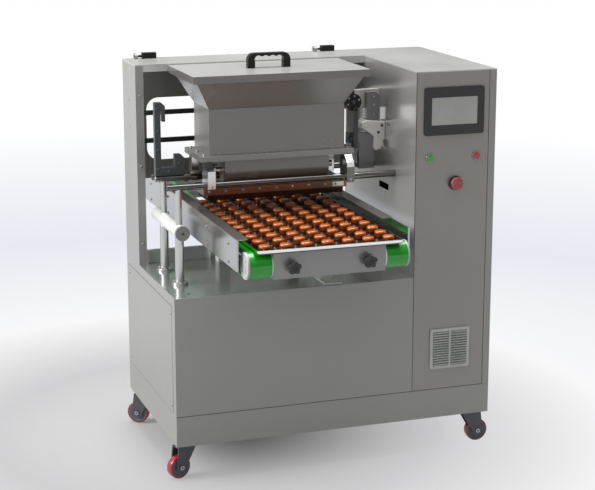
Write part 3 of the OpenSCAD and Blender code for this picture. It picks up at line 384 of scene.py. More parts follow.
base_lo, base_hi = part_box("base_frame")
tower_lo, tower_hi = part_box("tower_front_panel")
front_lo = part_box("front_panel")[0]
joints = [((base_lo.x + 0.001, front_lo.y, base_hi.z), (tower_hi.x, front_lo.y, base_hi.z)),
          ((tower_lo.x, front_lo.y, base_hi.z), (tower_lo.x, front_lo.y, tower_hi.z)),
          ((tower_hi.x, front_lo.y, base_hi.z), (tower_hi.x, front_lo.y, tower_hi.z)),
          ((left_face, panel_lo.y, panel_lo.z), (left_face, panel_lo.y, panel_hi.z)),
          ((left_face, panel_lo.y, panel_hi.z), (left_face, panel_hi.y, panel_hi.z))]
beads = []
for start, end in joints:
    grow = Vector((joint_half, joint_half, joint_half))
    if start[0] == end[0] == left_face:
        grow.x = joint_proud
    else:
        grow.y = joint_proud
    beads.append(rounded_block("joint_bead", Vector(start) - grow, Vector(end) + grow, joint_edge, 1))
plug_y = side_hi.y - 0.0845
plug_half = (joint_proud, 0.0018, 0.004)
for z in (1.031, 1.120):
    lo, hi = ([c + sign * h for c, h in zip((side_lo.x, plug_y, z), plug_half)] for sign in (-1, 1))
    beads.append(rounded_block("column_plug", lo, hi, joint_edge, 1))
joint_dark = moulding("joint_dark", (0.055, 0.053, 0.050), 0.55)
settle(joined(beads, "joint_beads"), "cabinet", "black_plastic", joint_dark)

# Deck and tower wall: stainless sheet polished bright, so that it mirrors the conveyor and the rods. The
# deck is folded up at the back, and the wall closes the tower's left side.
mirror_metal = sheet_metal("mirror_metal", (0.37, 0.395, 0.375), 0.7, 0.16, (400, 8, 8), bump=0.004)
wall_metal = sheet_metal("wall_metal", (0.47, 0.465, 0.45), 0.6, 0.19, (8, 8, 600), bump=0.006)
deck_t = 0.003


def two_tone(finish, axis, level, high_colour, blend=0.0004):
    """Gives a finish another colour above a level along an axis, with a blend between."""
    tree = finish.node_tree
    paint = tree.nodes["paint"]
    place = add_node(tree, "TexCoord")
    split = add_node(tree, "SeparateXYZ")
    above = add_node(tree, "MapRange", From_Min=level - blend / 2, From_Max=level + blend / 2)
    bands = add_node(tree, "Mix")
    bands.data_type = "RGBA"
    bands.inputs["A"].default_value = (*paint.inputs[0].default_value, 1.0)
    bands.inputs["B"].default_value = (*high_colour, 1.0)
    wire((place, "Object", split, "Vector"), (split, axis, above, "Value"), (above, "Result", bands, "Factor"),
         (bands, "Result", paint, 0))


two_tone(mirror_metal, "Z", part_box("deck_plate")[0].z + deck_t * 1.1, (0.66, 0.67, 0.66))
dress(mirror_metal, "deck_plate")
dress(wall_metal, "tower_inner_wall")

# Rear guard: dark anodised window bars, and two black hinge blocks screwed to the roof, with rounded
# edges and a pin through the guard's lug, in the blocks' black finish.
dark_metal = sheet_metal("dark_metal", (0.055, 0.058, 0.060), 0.5, 0.36, (90, 90, 90), bump=0.05)
black_plastic = moulding("black_plastic", (0.006, 0.006, 0.006), 0.36, shine=0.25)
dress(dark_metal, "guard_bars")
hinge_lo, hinge_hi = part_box("guard_hinges")
hinge_mid = (hinge_lo + hinge_hi) / 2
hinge_l = 0.048
hinge_h = 0.0195
hinge_edge = 0.0025
pin_r = 0.004
pin_l = 0.0253
pin_rings = [(pin_r * 0.8, 0.0), (pin_r, 0.0008), (pin_r, pin_l), (pin_r * 0.9, pin_l + 0.002)]
rightward = (0, math.radians(90), 0)
hinge_parts = []
for block_hi in (hinge_lo.x + pin_l + hinge_l, hinge_hi.x):
    block_lo = block_hi - hinge_l
    hinge_parts.append(rounded_block("hinge_block", (block_lo, hinge_lo.y, hinge_lo.z),
                                     (block_hi, hinge_hi.y, hinge_lo.z + hinge_h), hinge_edge))
    pin_place = (block_lo - pin_l, hinge_mid.y, hinge_mid.z)
    hinge_parts.append(turned("hinge_pin", pin_rings, 24, pin_place, rightward))
settle(joined(hinge_parts, "hinge_blocks"), "cabinet", "black_plastic", black_plastic, "guard_hinges")

# Touch panel: black moulded bezel with round corners and a recess for the matt grey display, clamped
# to the tower's sheet by its case behind it.
bezel_lo, bezel_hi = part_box("hmi_bezel")
glass_lo, glass_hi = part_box("hmi_screen")
tower_face = tower_lo.y
corner_r = 0.009
bezel_edge = 0.0012
case_inset = 0.007
case_edge = 0.003


def start_edit(kind):
    """Opens the active piece for editing, with nothing selected."""
    bpy.ops.object.mode_set(mode="EDIT")
    bpy.ops.mesh.select_mode(type=kind)
    bpy.ops.mesh.select_all(action="DESELECT")


def round_corners(piece, axis, radius, segments, test=lambda middle: True):
    """Bevels the edges that run along an axis and whose middle passes a test."""
    start_edit("EDGE")
    mesh = bmesh.from_edit_mesh(piece.data)
    for edge in mesh.edges:
        start, end = (vert.co for vert in edge.verts)
        if abs((end - start).normalized()[axis]) > 0.99 and test((start + end) / 2):
            edge.select_set(True)
    bmesh.update_edit_mesh(piece.data)
    bpy.ops.mesh.bevel(offset=radius, segments=segments, affect="EDGES")
    bpy.ops.object.mode_set(mode="OBJECT")


def cut_out(piece, cutter):
    """Cuts one solid out of another and removes the cutter."""
    take(piece)
    hole = piece.modifiers.new("cut", "BOOLEAN")
    hole.operation = "DIFFERENCE"
    hole.object = cutter
    bpy.ops.object.modifier_apply(modifier=hole.name)
    bpy.data.objects.remove(cutter)


def soften(piece, width, segments=2, angle=40):
    """Rounds the sharp edges of a piece with a bevel modifier and applies it."""
    take(piece)
    edge = piece.modifiers.new("edge", "BEVEL")
    edge.width = width
    edge.segments = segments
    edge.limit_method = "ANGLE"
    edge.angle_limit = math.radians(angle)
    bpy.ops.object.modifier_apply(modifier=edge.name)


bezel = plain_block("touch_panel_bezel", bezel_lo, (bezel_hi.x, tower_face, bezel_hi.z))
round_corners(bezel, 1, corner_r, 6)
recess = plain_block("recess", (glass_lo.x, bezel_lo.y - 0.001, glass_lo.z), glass_hi)
cut_out(bezel, recess)
soften(bezel, bezel_edge)
case = rounded_block("touch_panel_case", (bezel_lo.x + case_inset, tower_face, bezel_lo.z + case_inset),
                     (bezel_hi.x - case_inset, bezel_hi.y, bezel_hi.z - case_inset), case_edge)
bezel_black = moulding("bezel_black", (0.014, 0.014, 0.015), 0.30, grain=600.0)
settle(joined([bezel, case], "touch_panel_bezel"), "cabinet", "black_plastic", bezel_black, "hmi_bezel")
screen_grey = moulding("screen_grey", (0.36, 0.36, 0.34), 0.22, coat=0.2, bump=0.0, patch_scale=9.0)
dress(screen_grey, "hmi_screen")

# Push buttons: turned steel rings in the tower's sheet, domed green and red caps, and a red moulded
# mushroom for the emergency stop over a turned collar. The collar is given the dark finish as a painted shadow of
# the mushroom on the sheet.
button_r = 0.011
stem_r = button_r * 0.99
ring_r = 0.0145
ring_t = 0.004
sleeve_back = 0.034
ring_metal = sheet_metal("ring_metal", (0.30, 0.28, 0.25), 0.9, 0.25, (200, 200, 200))
green_cap = moulding("green_cap", (0.02, 0.33, 0.05), 0.22, coat=0.5, bump=0.0)
red_cap = moulding("red_cap", (0.40, 0.022, 0.045), 0.25, coat=0.4, bump=0.0)
stop_red = moulding("stop_red", (0.30, 0.055, 0.055), 0.30, coat=0.2, bump=0.0)
forward = (math.radians(90), 0, 0)
ring_rings = [(ring_r * 0.9, -sleeve_back), (ring_r * 0.9, 0.0), (ring_r, 0.0), (ring_r, ring_t * 0.6),
              (ring_r * 0.93, ring_t), (button_r * 1.02, ring_t), (button_r * 1.01, ring_t * 0.2),
              (button_r * 1.01, -sleeve_back * 0.85)]
rings = []
for name in ("start_button", "stop_button", "emergency_button"):
    cap_lo, cap_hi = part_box(name)
    middle = (cap_lo + cap_hi) / 2
    rings.append(turned("button_ring", ring_rings, 40, (middle.x, tower_face, middle.z), forward))
settle(joined(rings, "button_rings"), "cabinet", "bright_steel", ring_metal, "button_bezels")
cap_rings = [(stem_r, 0.0), (stem_r, 0.0225), (button_r * 0.94, 0.0242), (button_r * 0.80, 0.0248),
             (button_r * 0.5, 0.02495), (button_r * 0.15, 0.025)]
for name, body, slot, finish in (("start_button", "start", "green_plastic", green_cap),
                                 ("stop_button", "stop", "red_plastic", red_cap)):
    cap_lo, cap_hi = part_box(name)
    middle = (cap_lo + cap_hi) / 2
    cap = turned(name + "_cap", cap_rings, 40, (middle.x, cap_hi.y, middle.z), forward)
    settle(cap, body, slot, finish, name)
stop_lo, stop_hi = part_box("emergency_button")
middle = (stop_lo + stop_hi) / 2
stop_l = stop_hi.y - stop_lo.y
head_r = (stop_hi.x - stop_lo.x) / 2
head_shape = ((0.86, 0.014), (0.97, 0.0125), (1.0, 0.010), (1.0, 0.005), (0.965, 0.0028), (0.87, 0.0009),
              (0.72, 0.0), (0.60, 0.0), (0.55, 0.0008), (0.2, 0.0008))
mushroom_rings = [(stem_r, 0.0), (stem_r, stop_l - 0.0145)] + [(head_r * r, stop_l - z) for r, z in head_shape]
mushroom = turned("emergency_mushroom", mushroom_rings, 48, (middle.x, stop_hi.y, middle.z), forward)
settle(mushroom, "emergency", "red_plastic", stop_red, "emergency_button")
# Collar made dark as a painted shadow of the mushroom on the tower's sheet.
collar_r = 0.0232
collar_t = 0.0045
shaded_collar_rings = [(collar_r, 0.0), (collar_r, collar_t * 0.7), (collar_r * 0.95, collar_t), (ring_r * 1.02, collar_t),
              (ring_r * 1.01, 0.0)]
shaded_collar = turned("stop_shaded_collar", shaded_collar_rings, 48, (middle.x, tower_face, middle.z), forward)
settle(shaded_collar, "cabinet", "dark_metal", dark_metal)

# Ventilation grille: pale moulded frame with rounded edges, louvres that slope down to the front,
# and a rib down its middle. The fan behind it is black.
grille_lo, grille_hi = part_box("fan_grille")
grille_mid = (grille_lo + grille_hi) / 2
grille_round = 0.006
grille_edge = 0.0018
rim = 0.009
past = 0.01
louvre_count = 14
louvre_t = 0.0016
louvre_d = (grille_hi.y - grille_lo.y) * 0.9
louvre_slope = math.radians(-28)
rib_half = 0.003
rib_set = 0.0005
grille_grey = moulding("grille_grey", (0.44, 0.45, 0.42), 0.42)
grille = plain_block("grille_frame", grille_lo, grille_hi)
round_corners(grille, 1, grille_round, 4)
hollow = plain_block("hollow", (grille_lo.x + rim, grille_lo.y - past, grille_lo.z + rim),
                     (grille_hi.x - rim, grille_hi.y + past, grille_hi.z - rim))
cut_out(grille, hollow)
soften(grille, grille_edge)
grille_parts = [grille]
pitch = (grille_hi.z - grille_lo.z - 2 * rim) / louvre_count
for i in range(louvre_count):
    z = grille_lo.z + rim + (i + 0.5) * pitch
    louvre = rounded_block("louvre", (grille_lo.x + rim * 0.8, grille_mid.y - louvre_d * 0.5, z - louvre_t),
                           (grille_hi.x - rim * 0.8, grille_mid.y + louvre_d * 0.5, z + louvre_t), 0.0007, 1)
    bpy.ops.object.mode_set(mode="EDIT")
    bpy.ops.mesh.select_all(action="SELECT")
    bpy.ops.transform.rotate(value=louvre_slope, orient_axis="X", center_override=(grille_mid.x, grille_mid.y, z))
    bpy.ops.object.mode_set(mode="OBJECT")
    grille_parts.append(louvre)
grille_parts.append(rounded_block("rib", (grille_mid.x - rib_half, grille_lo.y + rib_set, grille_lo.z + rim * 0.8),
                                  (grille_mid.x + rib_half, grille_hi.y, grille_hi.z - rim * 0.8), 0.001, 2))
settle(joined(grille_parts, "louvre_grille"), "cabinet", "grille_plastic", grille_grey, "fan_grille")
fan_black = moulding("fan_black", (0.010, 0.010, 0.011), 0.45)
dress(fan_black, "fan_frame", "fan_rotor")

# Hopper: brushed stainless plate, folded and welded, with a flare of the same steel painted lighter as a
# painted reflection. The lid over it is a folded bright sheet, and the flange under it is a milled plate
# held by socket screws. On both, the top is painted lighter than the sides, as painted light from above.
hopper_metal = sheet_metal("hopper_metal", (0.20, 0.195, 0.187), 0.35, 0.24, (8, 500, 500))
lid_metal = sheet_metal("lid_metal", (0.15, 0.147, 0.140), 0.3, 0.14, (8, 900, 8))
flange_metal = sheet_metal("flange_metal", (0.23, 0.228, 0.22), 0.5, 0.26, (8, 500, 500))
dress(hopper_metal, "hopper_body", "roller_housing")
lid_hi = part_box("hopper_lid")[1]
hopper_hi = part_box("hopper_body")[1]
flare_h = 0.106
skin_t = 0.0006
# The flare above this level is painted lighter than the body: a painted reflection, the steel being the same.
two_tone(hopper_metal, "Z", hopper_hi.z - flare_h, (0.262, 0.266, 0.258))
# The lid's top face is painted much lighter than its sides: painted light from above.
two_tone(lid_metal, "Z", lid_hi.z - skin_t, (0.51, 0.51, 0.50))
dress(lid_metal, "hopper_lid")
flange_lo, flange_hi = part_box("hopper_flange")
# The flange's top face is painted lighter than its edges: painted light from above.
two_tone(flange_metal, "Z", flange_hi.z - skin_t, (0.40, 0.40, 0.39))
dress(flange_metal, "hopper_flange")
flange_screw = (0.0048, 0.005)
flange_x = (flange_lo.x + 0.015, flange_hi.x - 0.015)
flange_y = (flange_lo.y + 0.02, (flange_lo.y + flange_hi.y) / 2, flange_hi.y - 0.02)
facing_up = (0, 0, 1)
flange_places = [(x, y, flange_hi.z) for x in flange_x for y in flange_y]
screw_heads("flange_screws", "cabinet", flange_places, facing_up, flange_screw)

# Lid handle: black moulded bow with round shoulders and finger hollows under its bar.
grip_lo, grip_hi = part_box("lid_handle")
grip_leg = 0.024
grip_bar = 0.011
grip_round = 0.022
grip_edge = 0.003
bar_bottom = grip_hi.z - grip_bar
finger_count = 4
finger_r = 0.013
finger_depth = 0.003
handle = plain_block("lid_bow_handle", grip_lo, grip_hi)
round_corners(handle, 1, grip_round, 8, lambda p: p.z > grip_hi.z - 0.001)
opening = plain_block("opening", (grip_lo.x + grip_leg, grip_lo.y - past, grip_lo.z - 2 * past),
                      (grip_hi.x - grip_leg, grip_hi.y + past, bar_bottom))
round_corners(opening, 1, grip_round / 2, 6, lambda p: p.z > bar_bottom - 0.001)
cut_out(handle, opening)
finger_step = (grip_hi.x - grip_lo.x - 2 * grip_leg) / finger_count
for i in range(finger_count):
    x = grip_lo.x + grip_leg + (i + 0.5) * finger_step
    finger = turned("finger", [(finger_r, 0.0), (finger_r, 0.05)], 32,
                    (x, grip_hi.y + past, bar_bottom - finger_r + finger_depth), forward)
    cut_out(handle, finger)
soften(handle, grip_edge, 3, 30)
settle(handle, "lid", "black_plastic", black_plastic, "lid_handle")

# Feed rollers: turned steel, ground bright, that run against each other on bearings in the housing's
# ends and press the dough down into the nozzle bar.
bright_metal = sheet_metal("bright_metal", (0.62, 0.62, 0.61), 1.0, 0.12, (8, 300, 300), bump=0.006)
dress(bright_metal, "front_feed_roller", "rear_feed_roller")

# Nozzle bar: polished bar with a row of small bright screws along its front and a pale stamped tab on
# its right end, over dark nozzles. Its copper tint is a painted reflection of the dough that it faces, and
# its lower block is painted darker as painted shade under the head.
nozzle_reflection_and_shade = sheet_metal("nozzle_reflection_and_shade", (0.035, 0.018, 0.012), 0.9, 0.22, (8, 300, 300))
tab_pale = sheet_metal("tab_pale", (0.72, 0.70, 0.64), 0.6, 0.24, (300, 8, 300))
dress(dark_metal, "nozzles")
bar_lo, bar_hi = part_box("nozzle_bar")
block_h = 0.017
# Lower block painted darker than the bar above it: painted shade. Both tones carry a copper tint that is a painted
# reflection of the dough.
two_tone(nozzle_reflection_and_shade, "Z", bar_lo.z + block_h, (0.17, 0.094, 0.064))
dress(nozzle_reflection_and_shade, "nozzle_bar")
bar_face_z = bar_lo.z + block_h + 0.0115
bar_screw = (0.0038, 0.002)
bar_inset = 0.0175
bar_screws = 9
bar_step = (bar_hi.x - bar_lo.x - 2 * bar_inset) / (bar_screws - 1)
bar_places = [(bar_lo.x + bar_inset + i * bar_step, bar_lo.y, bar_face_z) for i in range(bar_screws - 1)]
screw_heads("nozzle_bar_screws", "cabinet", bar_places, facing_front, bar_screw)
tab_t = 0.0025
tab_face = bar_lo.y - tab_t
tab_screw = (0.0036, 0.0015)
tab = rounded_block("bar_tab", (bar_hi.x - 0.048, tab_face, bar_face_z - 0.0075),
                    (bar_hi.x - 0.010, bar_lo.y, bar_face_z + 0.0065), 0.0006, 2)
settle(tab, "cabinet", "hopper_steel", tab_pale)
tab_places = [(bar_hi.x - 0.039, tab_face, bar_face_z)]
screw_heads("bar_tab_screw", "cabinet", tab_places, facing_front, tab_screw, dark_metal, "dark_metal")

# Strap clamps: bright flat bar, sawn and drilled, that hangs the head on the two guide rods. The right
# one is cut off at a slope under the flange and has a dull cap over the rod. The left one is a saddle
# with a hanger over it, given the dark finish as painted shade under the flange. Each has a clamp
# screw low on its front.
strap_metal = sheet_metal("strap_metal", (0.62, 0.62, 0.60), 0.95, 0.16, (300, 8, 8), bump=0.004)
cap_metal = sheet_metal("cap_metal", (0.17, 0.17, 0.16), 0.6, 0.26, (300, 8, 8), bump=0.004)
strap_lo, strap_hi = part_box("strap_clamps")
strap_w = 0.025
strap_right = strap_hi.x - strap_w
strap_back = strap_lo.y + 0.0645
rear_front = strap_hi.y - 0.033
strap_slope = 0.024
lip_h = 0.013
cap_t = 0.002
cap_face = strap_lo.y - cap_t
saddle_low = strap_lo.z + 0.006
saddle_top = strap_hi.z - 0.023
hanger_front = strap_lo.y + 0.030
strap_screw = (0.0040, 0.0025)


def cut_plate(name, outline, front, back, origin=(0.0, 0.0)):
    """Plate with an outline in X and Z: a disc whose corners are pulled out, drawn to the back."""
    bpy.ops.mesh.primitive_circle_add(vertices=len(outline), radius=0.01, fill_type="NGON", location=(0, front, 0),
                                      rotation=forward)
    plate = bpy.context.object
    plate.name = name
    bpy.ops.object.transform_apply()
    start_edit("VERT")
    for k, (x, z) in enumerate(outline):
        bpy.ops.mesh.select_all(action="DESELECT")
        mesh = bmesh.from_edit_mesh(plate.data)
        mesh.verts.ensure_lookup_table()
        mesh.verts[k].select_set(True)
        pull = Vector((origin[0] + x, front, origin[1] + z)) - mesh.verts[k].co
        bmesh.update_edit_mesh(plate.data)
        bpy.ops.transform.translate(value=pull)
    bpy.ops.mesh.select_all(action="SELECT")
    bpy.ops.mesh.extrude_region_move(TRANSFORM_OT_translate={"value": (0, back - front, 0)})
    bpy.ops.mesh.select_all(action="SELECT")
    bpy.ops.mesh.normals_make_consistent(inside=False)
    bpy.ops.object.mode_set(mode="OBJECT")
    return plate


def strap_bar(name, outline, x):
    """Bar cut to an outline in Y and Z, one strap's width to the right of x."""
    strap = cut_plate(name, outline, -x - strap_w, -x)
    strap.rotation_euler = (0, 0, math.radians(90))
    take(strap)
    bpy.ops.object.transform_apply()
    soften(strap, 0.0008, 2, 20)
    return strap


def upright(front, low, back, top):
    """Outline of a rectangle in Y and Z."""
    return [(front, low), (back, low), (back, top), (front, top)]


front_outline = [(strap_lo.y, strap_lo.z), (strap_back, strap_lo.z), (strap_back, strap_hi.z),
                 (strap_lo.y + strap_slope, strap_hi.z), (strap_lo.y, strap_hi.z - strap_slope)]
rear_outline = upright(rear_front, strap_lo.z, strap_hi.y, strap_hi.z)
saddle_outline = upright(strap_lo.y, saddle_low, strap_back, saddle_top)
hanger_outline = upright(hanger_front, saddle_top, strap_back, strap_hi.z)
straps = [strap_bar("strap", outline, x)
          for outline, x in ((rear_outline, strap_lo.x), (rear_outline, strap_right), (saddle_outline, strap_lo.x),
                             (front_outline, strap_right))]
settle(joined(straps, "strap_clamp_bars"), "cabinet", "hopper_steel", strap_metal, "strap_clamps")
# The hanger is dark as painted shade under the flange.
settle(strap_bar("left_shaded_hanger", hanger_outline, strap_lo.x), "cabinet", "dark_metal", dark_metal)
cap = rounded_block("right_strap_cap", (strap_right, cap_face, strap_lo.z),
                    (strap_hi.x, strap_lo.y, strap_hi.z - strap_slope - lip_h), 0.0006, 2)
settle(cap, "cabinet", "hopper_steel", cap_metal)
strap_places = [(strap_lo.x + strap_w / 2, strap_lo.y, saddle_low + 0.0075),
                (strap_hi.x - strap_w / 2, cap_face, strap_lo.z + 0.0085)]
screw_heads("strap_screws", "cabinet", strap_places, facing_front, strap_screw)

# Guide rods: ground and chromed steel bars that carry the head, fixed in the tower wall and laid on the
# posts. Their free ends have a chamfer and a dark centre drilling. A short shaft between them carries
# the left bracket, and is pressed into the end of the roller housing.
rod_metal = sheet_metal("rod_metal", (0.17, 0.165, 0.16), 1.0, 0.07, (8, 300, 300), bump=0.003)
dress(rod_metal, "guide_rods")
rod_lo, rod_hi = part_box("guide_rods")
rod_r = (rod_hi.z - rod_lo.z) / 2
rod_z = (rod_hi.z + rod_lo.z) / 2
rod_y = (rod_lo.y + rod_r, rod_hi.y - rod_r)
rod_mid_y = (rod_lo.y + rod_hi.y) / 2
bracket_lo, bracket_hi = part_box("side_brackets")
heel_z = bracket_lo.z + 0.005
stub_r = 0.010
stub_collar = stub_r * 1.32
stub_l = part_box("roller_housing")[0].x - bracket_lo.x
stub_rings = [(stub_r * 0.9, 0.0), (stub_r, 0.001), (stub_r, stub_l * 0.46), (stub_collar, stub_l * 0.46),
              (stub_collar, stub_l * 0.50), (stub_r, stub_l * 0.50), (stub_r, stub_l)]
stub = turned("bracket_shaft", stub_rings, 40, (bracket_lo.x, rod_mid_y, heel_z - stub_r), rightward)
settle(stub, "cabinet", "bright_steel", rod_metal)
leftward = (0, math.radians(-90), 0)
end_rings = [(rod_r * 0.92, 0.0), (rod_r * 0.85, 0.0012), (rod_r * 0.35, 0.0012), (rod_r * 0.30, 0.0004)]
ends = turned("rod_end", end_rings, 32, turn=leftward)
end_places = [(rod_lo.x, y, rod_z) for y in rod_y]
settle(copies(ends, end_places, "rod_ends"), "cabinet", "dark_metal", dark_metal)

# Guide posts and cross tube: pale satin aluminium, turned, screwed to the deck by their feet, and a
# knurled cap with a centre screw on the tube's front end.
post_metal = sheet_metal("post_metal", (0.56, 0.56, 0.54), 0.9, 0.22, (200, 200, 8))
tube_metal = sheet_metal("tube_metal", (0.66, 0.66, 0.64), 0.2, 0.28, (200, 8, 200))
dress(tube_metal, "cross_tube")
post_lo, post_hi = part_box("guide_posts")
tube_lo, tube_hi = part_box("cross_tube")
post_x = (post_lo.x + post_hi.x) / 2
foot_r = (post_hi.x - post_lo.x) / 2
foot_h = 0.008
post_r = 0.014
post_pin_r = 0.010
shoulder_h = tube_lo.z - post_lo.z
post_rings = [(foot_r, 0.0), (foot_r, foot_h * 0.8), (foot_r * 0.97, foot_h), (post_r * 1.1, foot_h),
              (post_r, foot_h * 1.3), (post_r, shoulder_h - 0.001), (post_r * 0.95, shoulder_h),
              (post_pin_r, shoulder_h), (post_pin_r, rod_z - rod_r * 0.6 - post_lo.z)]
post = turned("guide_post", post_rings, 40)
post_places = [(post_x, y, post_lo.z) for y in rod_y]
settle(copies(post, post_places, "turned_posts"), "cabinet", "cream_metal", post_metal, "guide_posts")
foot_screw = (0.0036, 0.0025)
foot_ring = 0.0195


def bolt_circle(centre, radius, count, first, axes):
    """Places round a centre in the plane of two axes, from a first angle in degrees."""
    places = []
    for k in range(count):
        angle = math.radians(first + 360 / count * k)
        place = list(centre)
        place[axes[0]] += radius * math.cos(angle)
        place[axes[1]] += radius * math.sin(angle)
        places.append(place)
    return places


foot_places = []
for y in rod_y:
    foot_places += bolt_circle((post_x, y, post_lo.z + foot_h), foot_ring, 4, 45, (0, 1))
screw_heads("foot_screws", "cabinet", foot_places, facing_up, foot_screw)
tube_r = (tube_hi.z - tube_lo.z) / 2
tube_mid = (tube_lo + tube_hi) / 2
tube_screw = (0.0045, 0.002)
knurl_r = tube_r * 1.04
knurl_l = 0.014
knurl_proud = 0.0015
knurl_face = tube_lo.y - knurl_proud
knurl_grow = 1.035
knurl_metal = sheet_metal("knurl_metal", (0.20, 0.195, 0.185), 0.4, 0.40, (300, 300, 300))
knurl = turned("knurled_cap", [(tube_r, 0.0), (knurl_r, 0.001), (knurl_r, knurl_l)], 72,
               (tube_mid.x, tube_lo.y + knurl_l - knurl_proud, tube_mid.z), forward)
take(knurl)
start_edit("FACE")
mesh = bmesh.from_edit_mesh(knurl.data)
ribs = sorted((f for f in mesh.faces if abs(f.normal.y) < 0.5 and f.calc_area() > 0.00001),
              key=lambda f: math.atan2(f.normal.z, f.normal.x))
for face in ribs[::2]:
    face.select_set(True)
bmesh.update_edit_mesh(knurl.data)
bpy.ops.mesh.inset(thickness=0.0003, use_individual=True)
bpy.ops.transform.resize(value=(knurl_grow, 1.0, knurl_grow), center_override=tube_mid)
bpy.ops.object.mode_set(mode="OBJECT")
settle(knurl, "cabinet", "bright_steel", knurl_metal)
tube_end = (tube_mid.x, knurl_face, tube_mid.z)
screw_heads("tube_screw", "cabinet", [tube_end], facing_front, tube_screw, dark_metal, "dark_metal")

# Side brackets: dark oxide coated plate, sawn and milled. The left one is a hooked arm with a heel that
# is screwed to the shaft between the rods, the right one a stop plate on top of the drive's casting.
bracket_metal = sheet_metal("bracket_metal", (0.055, 0.058, 0.060), 0.5, 0.36, (90, 90, 90), bump=0.05)
two_tone(bracket_metal, "X", 0.0, (0.17, 0.172, 0.175))
bracket_t = 0.020
bracket_edge = 0.0012
bracket_face = rod_mid_y - bracket_t / 2
bracket_screw = (0.005, 0.003)
hook_outline = [(0.0, 0.0), (0.093, 0.0), (0.093, 0.054), (0.081, 0.066), (0.062, 0.066), (0.062, 0.026),
                (0.019, 0.026), (0.019, 0.204), (0.024, 0.204), (0.024, 0.170), (0.034, 0.170), (0.034, 0.218),
                (0.022, 0.230), (0.0, 0.230)]
hook = cut_plate("hook", hook_outline, bracket_face, rod_mid_y + bracket_t / 2, (bracket_lo.x, heel_z))
stop_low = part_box("drive_bracket")[0].z + 0.100
stop_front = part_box("feed_motor")[1].y - 0.038
stop_outline = [(-0.046, 0.0), (0.0, 0.0), (0.0, 0.078), (-0.014, 0.092), (-0.046, 0.092)]
stop_plate = cut_plate("stop_plate", stop_outline, stop_front, stop_front + bracket_t, (bracket_hi.x, stop_low))
for plate in (hook, stop_plate):
    soften(plate, bracket_edge, 2, 20)
settle(joined([hook, stop_plate], "bracket_plates"), "cabinet", "dark_metal", bracket_metal, "side_brackets")
arm_z = (0.94, 1.00, 1.06, 1.13)
heel_screws = ((0.078, 0.955), (0.045, 0.932))
bracket_places = [(bracket_lo.x + 0.0095, bracket_face, z) for z in arm_z]
bracket_places += [(bracket_lo.x + x, bracket_face, z) for x, z in heel_screws]
screw_heads("bracket_screws", "cabinet", bracket_places, facing_front, bracket_screw, dark_metal, "dark_metal")

# Drive: pale cast bracket on the tower wall with a grey leg, a ribbed motor with an end cap and a terminal
# box, and the black crank, dark link and lever that rock the feed rollers.
cast_pale = sheet_metal("cast_pale", (0.62, 0.61, 0.58), 0.3, 0.42, (160, 160, 160), bump=0.12, spread=0.05)
leg_grey = sheet_metal("leg_grey", (0.17, 0.172, 0.178), 0.5, 0.30, (8, 8, 400))
motor_blue = moulding("motor_blue", (0.020, 0.026, 0.034), 0.30, coat=0.2)
dress(black_plastic, "drive_crank")
dress(dark_metal, "link_rod", "drive_lever")
motor_lo, motor_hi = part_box("feed_motor")
motor_mid = (motor_lo + motor_hi) / 2
motor_r = (motor_hi.x - motor_lo.x) / 2
motor_l = 0.058
motor_front = motor_hi.y - motor_l
cap_r = motor_r * 0.98
groove_r = motor_r * 0.90
rib_count = 7
rib_pitch = 0.0062
shaft_r = 0.006
motor_rings = [(groove_r, 0.0), (cap_r, 0.001), (cap_r, 0.006)]
for k in range(rib_count):
    y = 0.008 + k * rib_pitch
    motor_rings += [(groove_r, y), (groove_r, y + 0.002), (motor_r, y + 0.0026), (motor_r, y + 0.0050)]
motor_rings += [(cap_r, 0.0525), (cap_r, 0.057), (motor_r * 0.92, motor_l), (motor_r * 0.5, motor_l),
                (motor_r * 0.46, 0.0575)]


def shaft_rings(length):
    """Rings of a shaft with a chamfered end."""
    return [(shaft_r, 0.0), (shaft_r, length - 0.001), (shaft_r * 0.85, length)]


motor = turned("feed_motor_case", motor_rings, 40, (motor_mid.x, motor_hi.y, motor_mid.z), forward)
terminal = rounded_block("terminal_box", (motor_mid.x - 0.013, motor_front + 0.014, motor_hi.z - 0.004),
                         (motor_mid.x + 0.013, motor_front + 0.046, motor_hi.z + 0.009), 0.002)
shaft = turned("motor_shaft", shaft_rings(motor_front - motor_lo.y), 24, (motor_mid.x, motor_front, motor_mid.z),
               forward)
settle(joined([motor, terminal, shaft], "feed_motor_case"), "cabinet", "dark_metal", motor_blue, "feed_motor")
crank_screw = (0.003, 0.0015)
crank_face = motor_front - 0.0084
crank_low = motor_mid.z - 0.012
crank_places = bolt_circle((motor_mid.x, crank_face, motor_mid.z), 0.020, 6, 20, (0, 2))
crank_places = [place for place in crank_places if place[2] > crank_low]
screw_heads("crank_screws", "crank", crank_places, facing_front, crank_screw)
block_lo, block_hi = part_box("drive_bracket")
stop_screw = (0.0042, 0.003)
stop_places = [(block_hi.x - 0.036, stop_front, z) for z in (1.075, 1.105, 1.13)]
screw_heads("stop_screws", "cabinet", stop_places, facing_front, stop_screw)
wall_foot = (block_hi.x, block_lo.z)
block_face = motor_front + 0.005
casting_d = 0.050
arm_outline = [(-0.083, 0.095), (-0.067, 0.103), (-0.025, 0.098), (0.0, 0.096), (0.0, 0.036), (-0.008, 0.034),
               (-0.014, 0.007), (-0.032, 0.002), (-0.042, 0.013), (-0.039, 0.046), (-0.050, 0.058),
               (-0.083, 0.079)]
casting = cut_plate("drive_casting", arm_outline, block_face, block_face + casting_d, wall_foot)
soften(casting, 0.003, 3, 20)
mount = rounded_block("motor_mount", (block_lo.x, block_hi.y - 0.006, block_hi.z - 0.062), block_hi, 0.0015)
settle(joined([casting, mount], "drive_casting"), "cabinet", "cream_metal", cast_pale, "drive_bracket")
leg_face = block_face + 0.004
leg_t = 0.018
leg_tip = motor_mid.x - 0.014 - block_hi.x
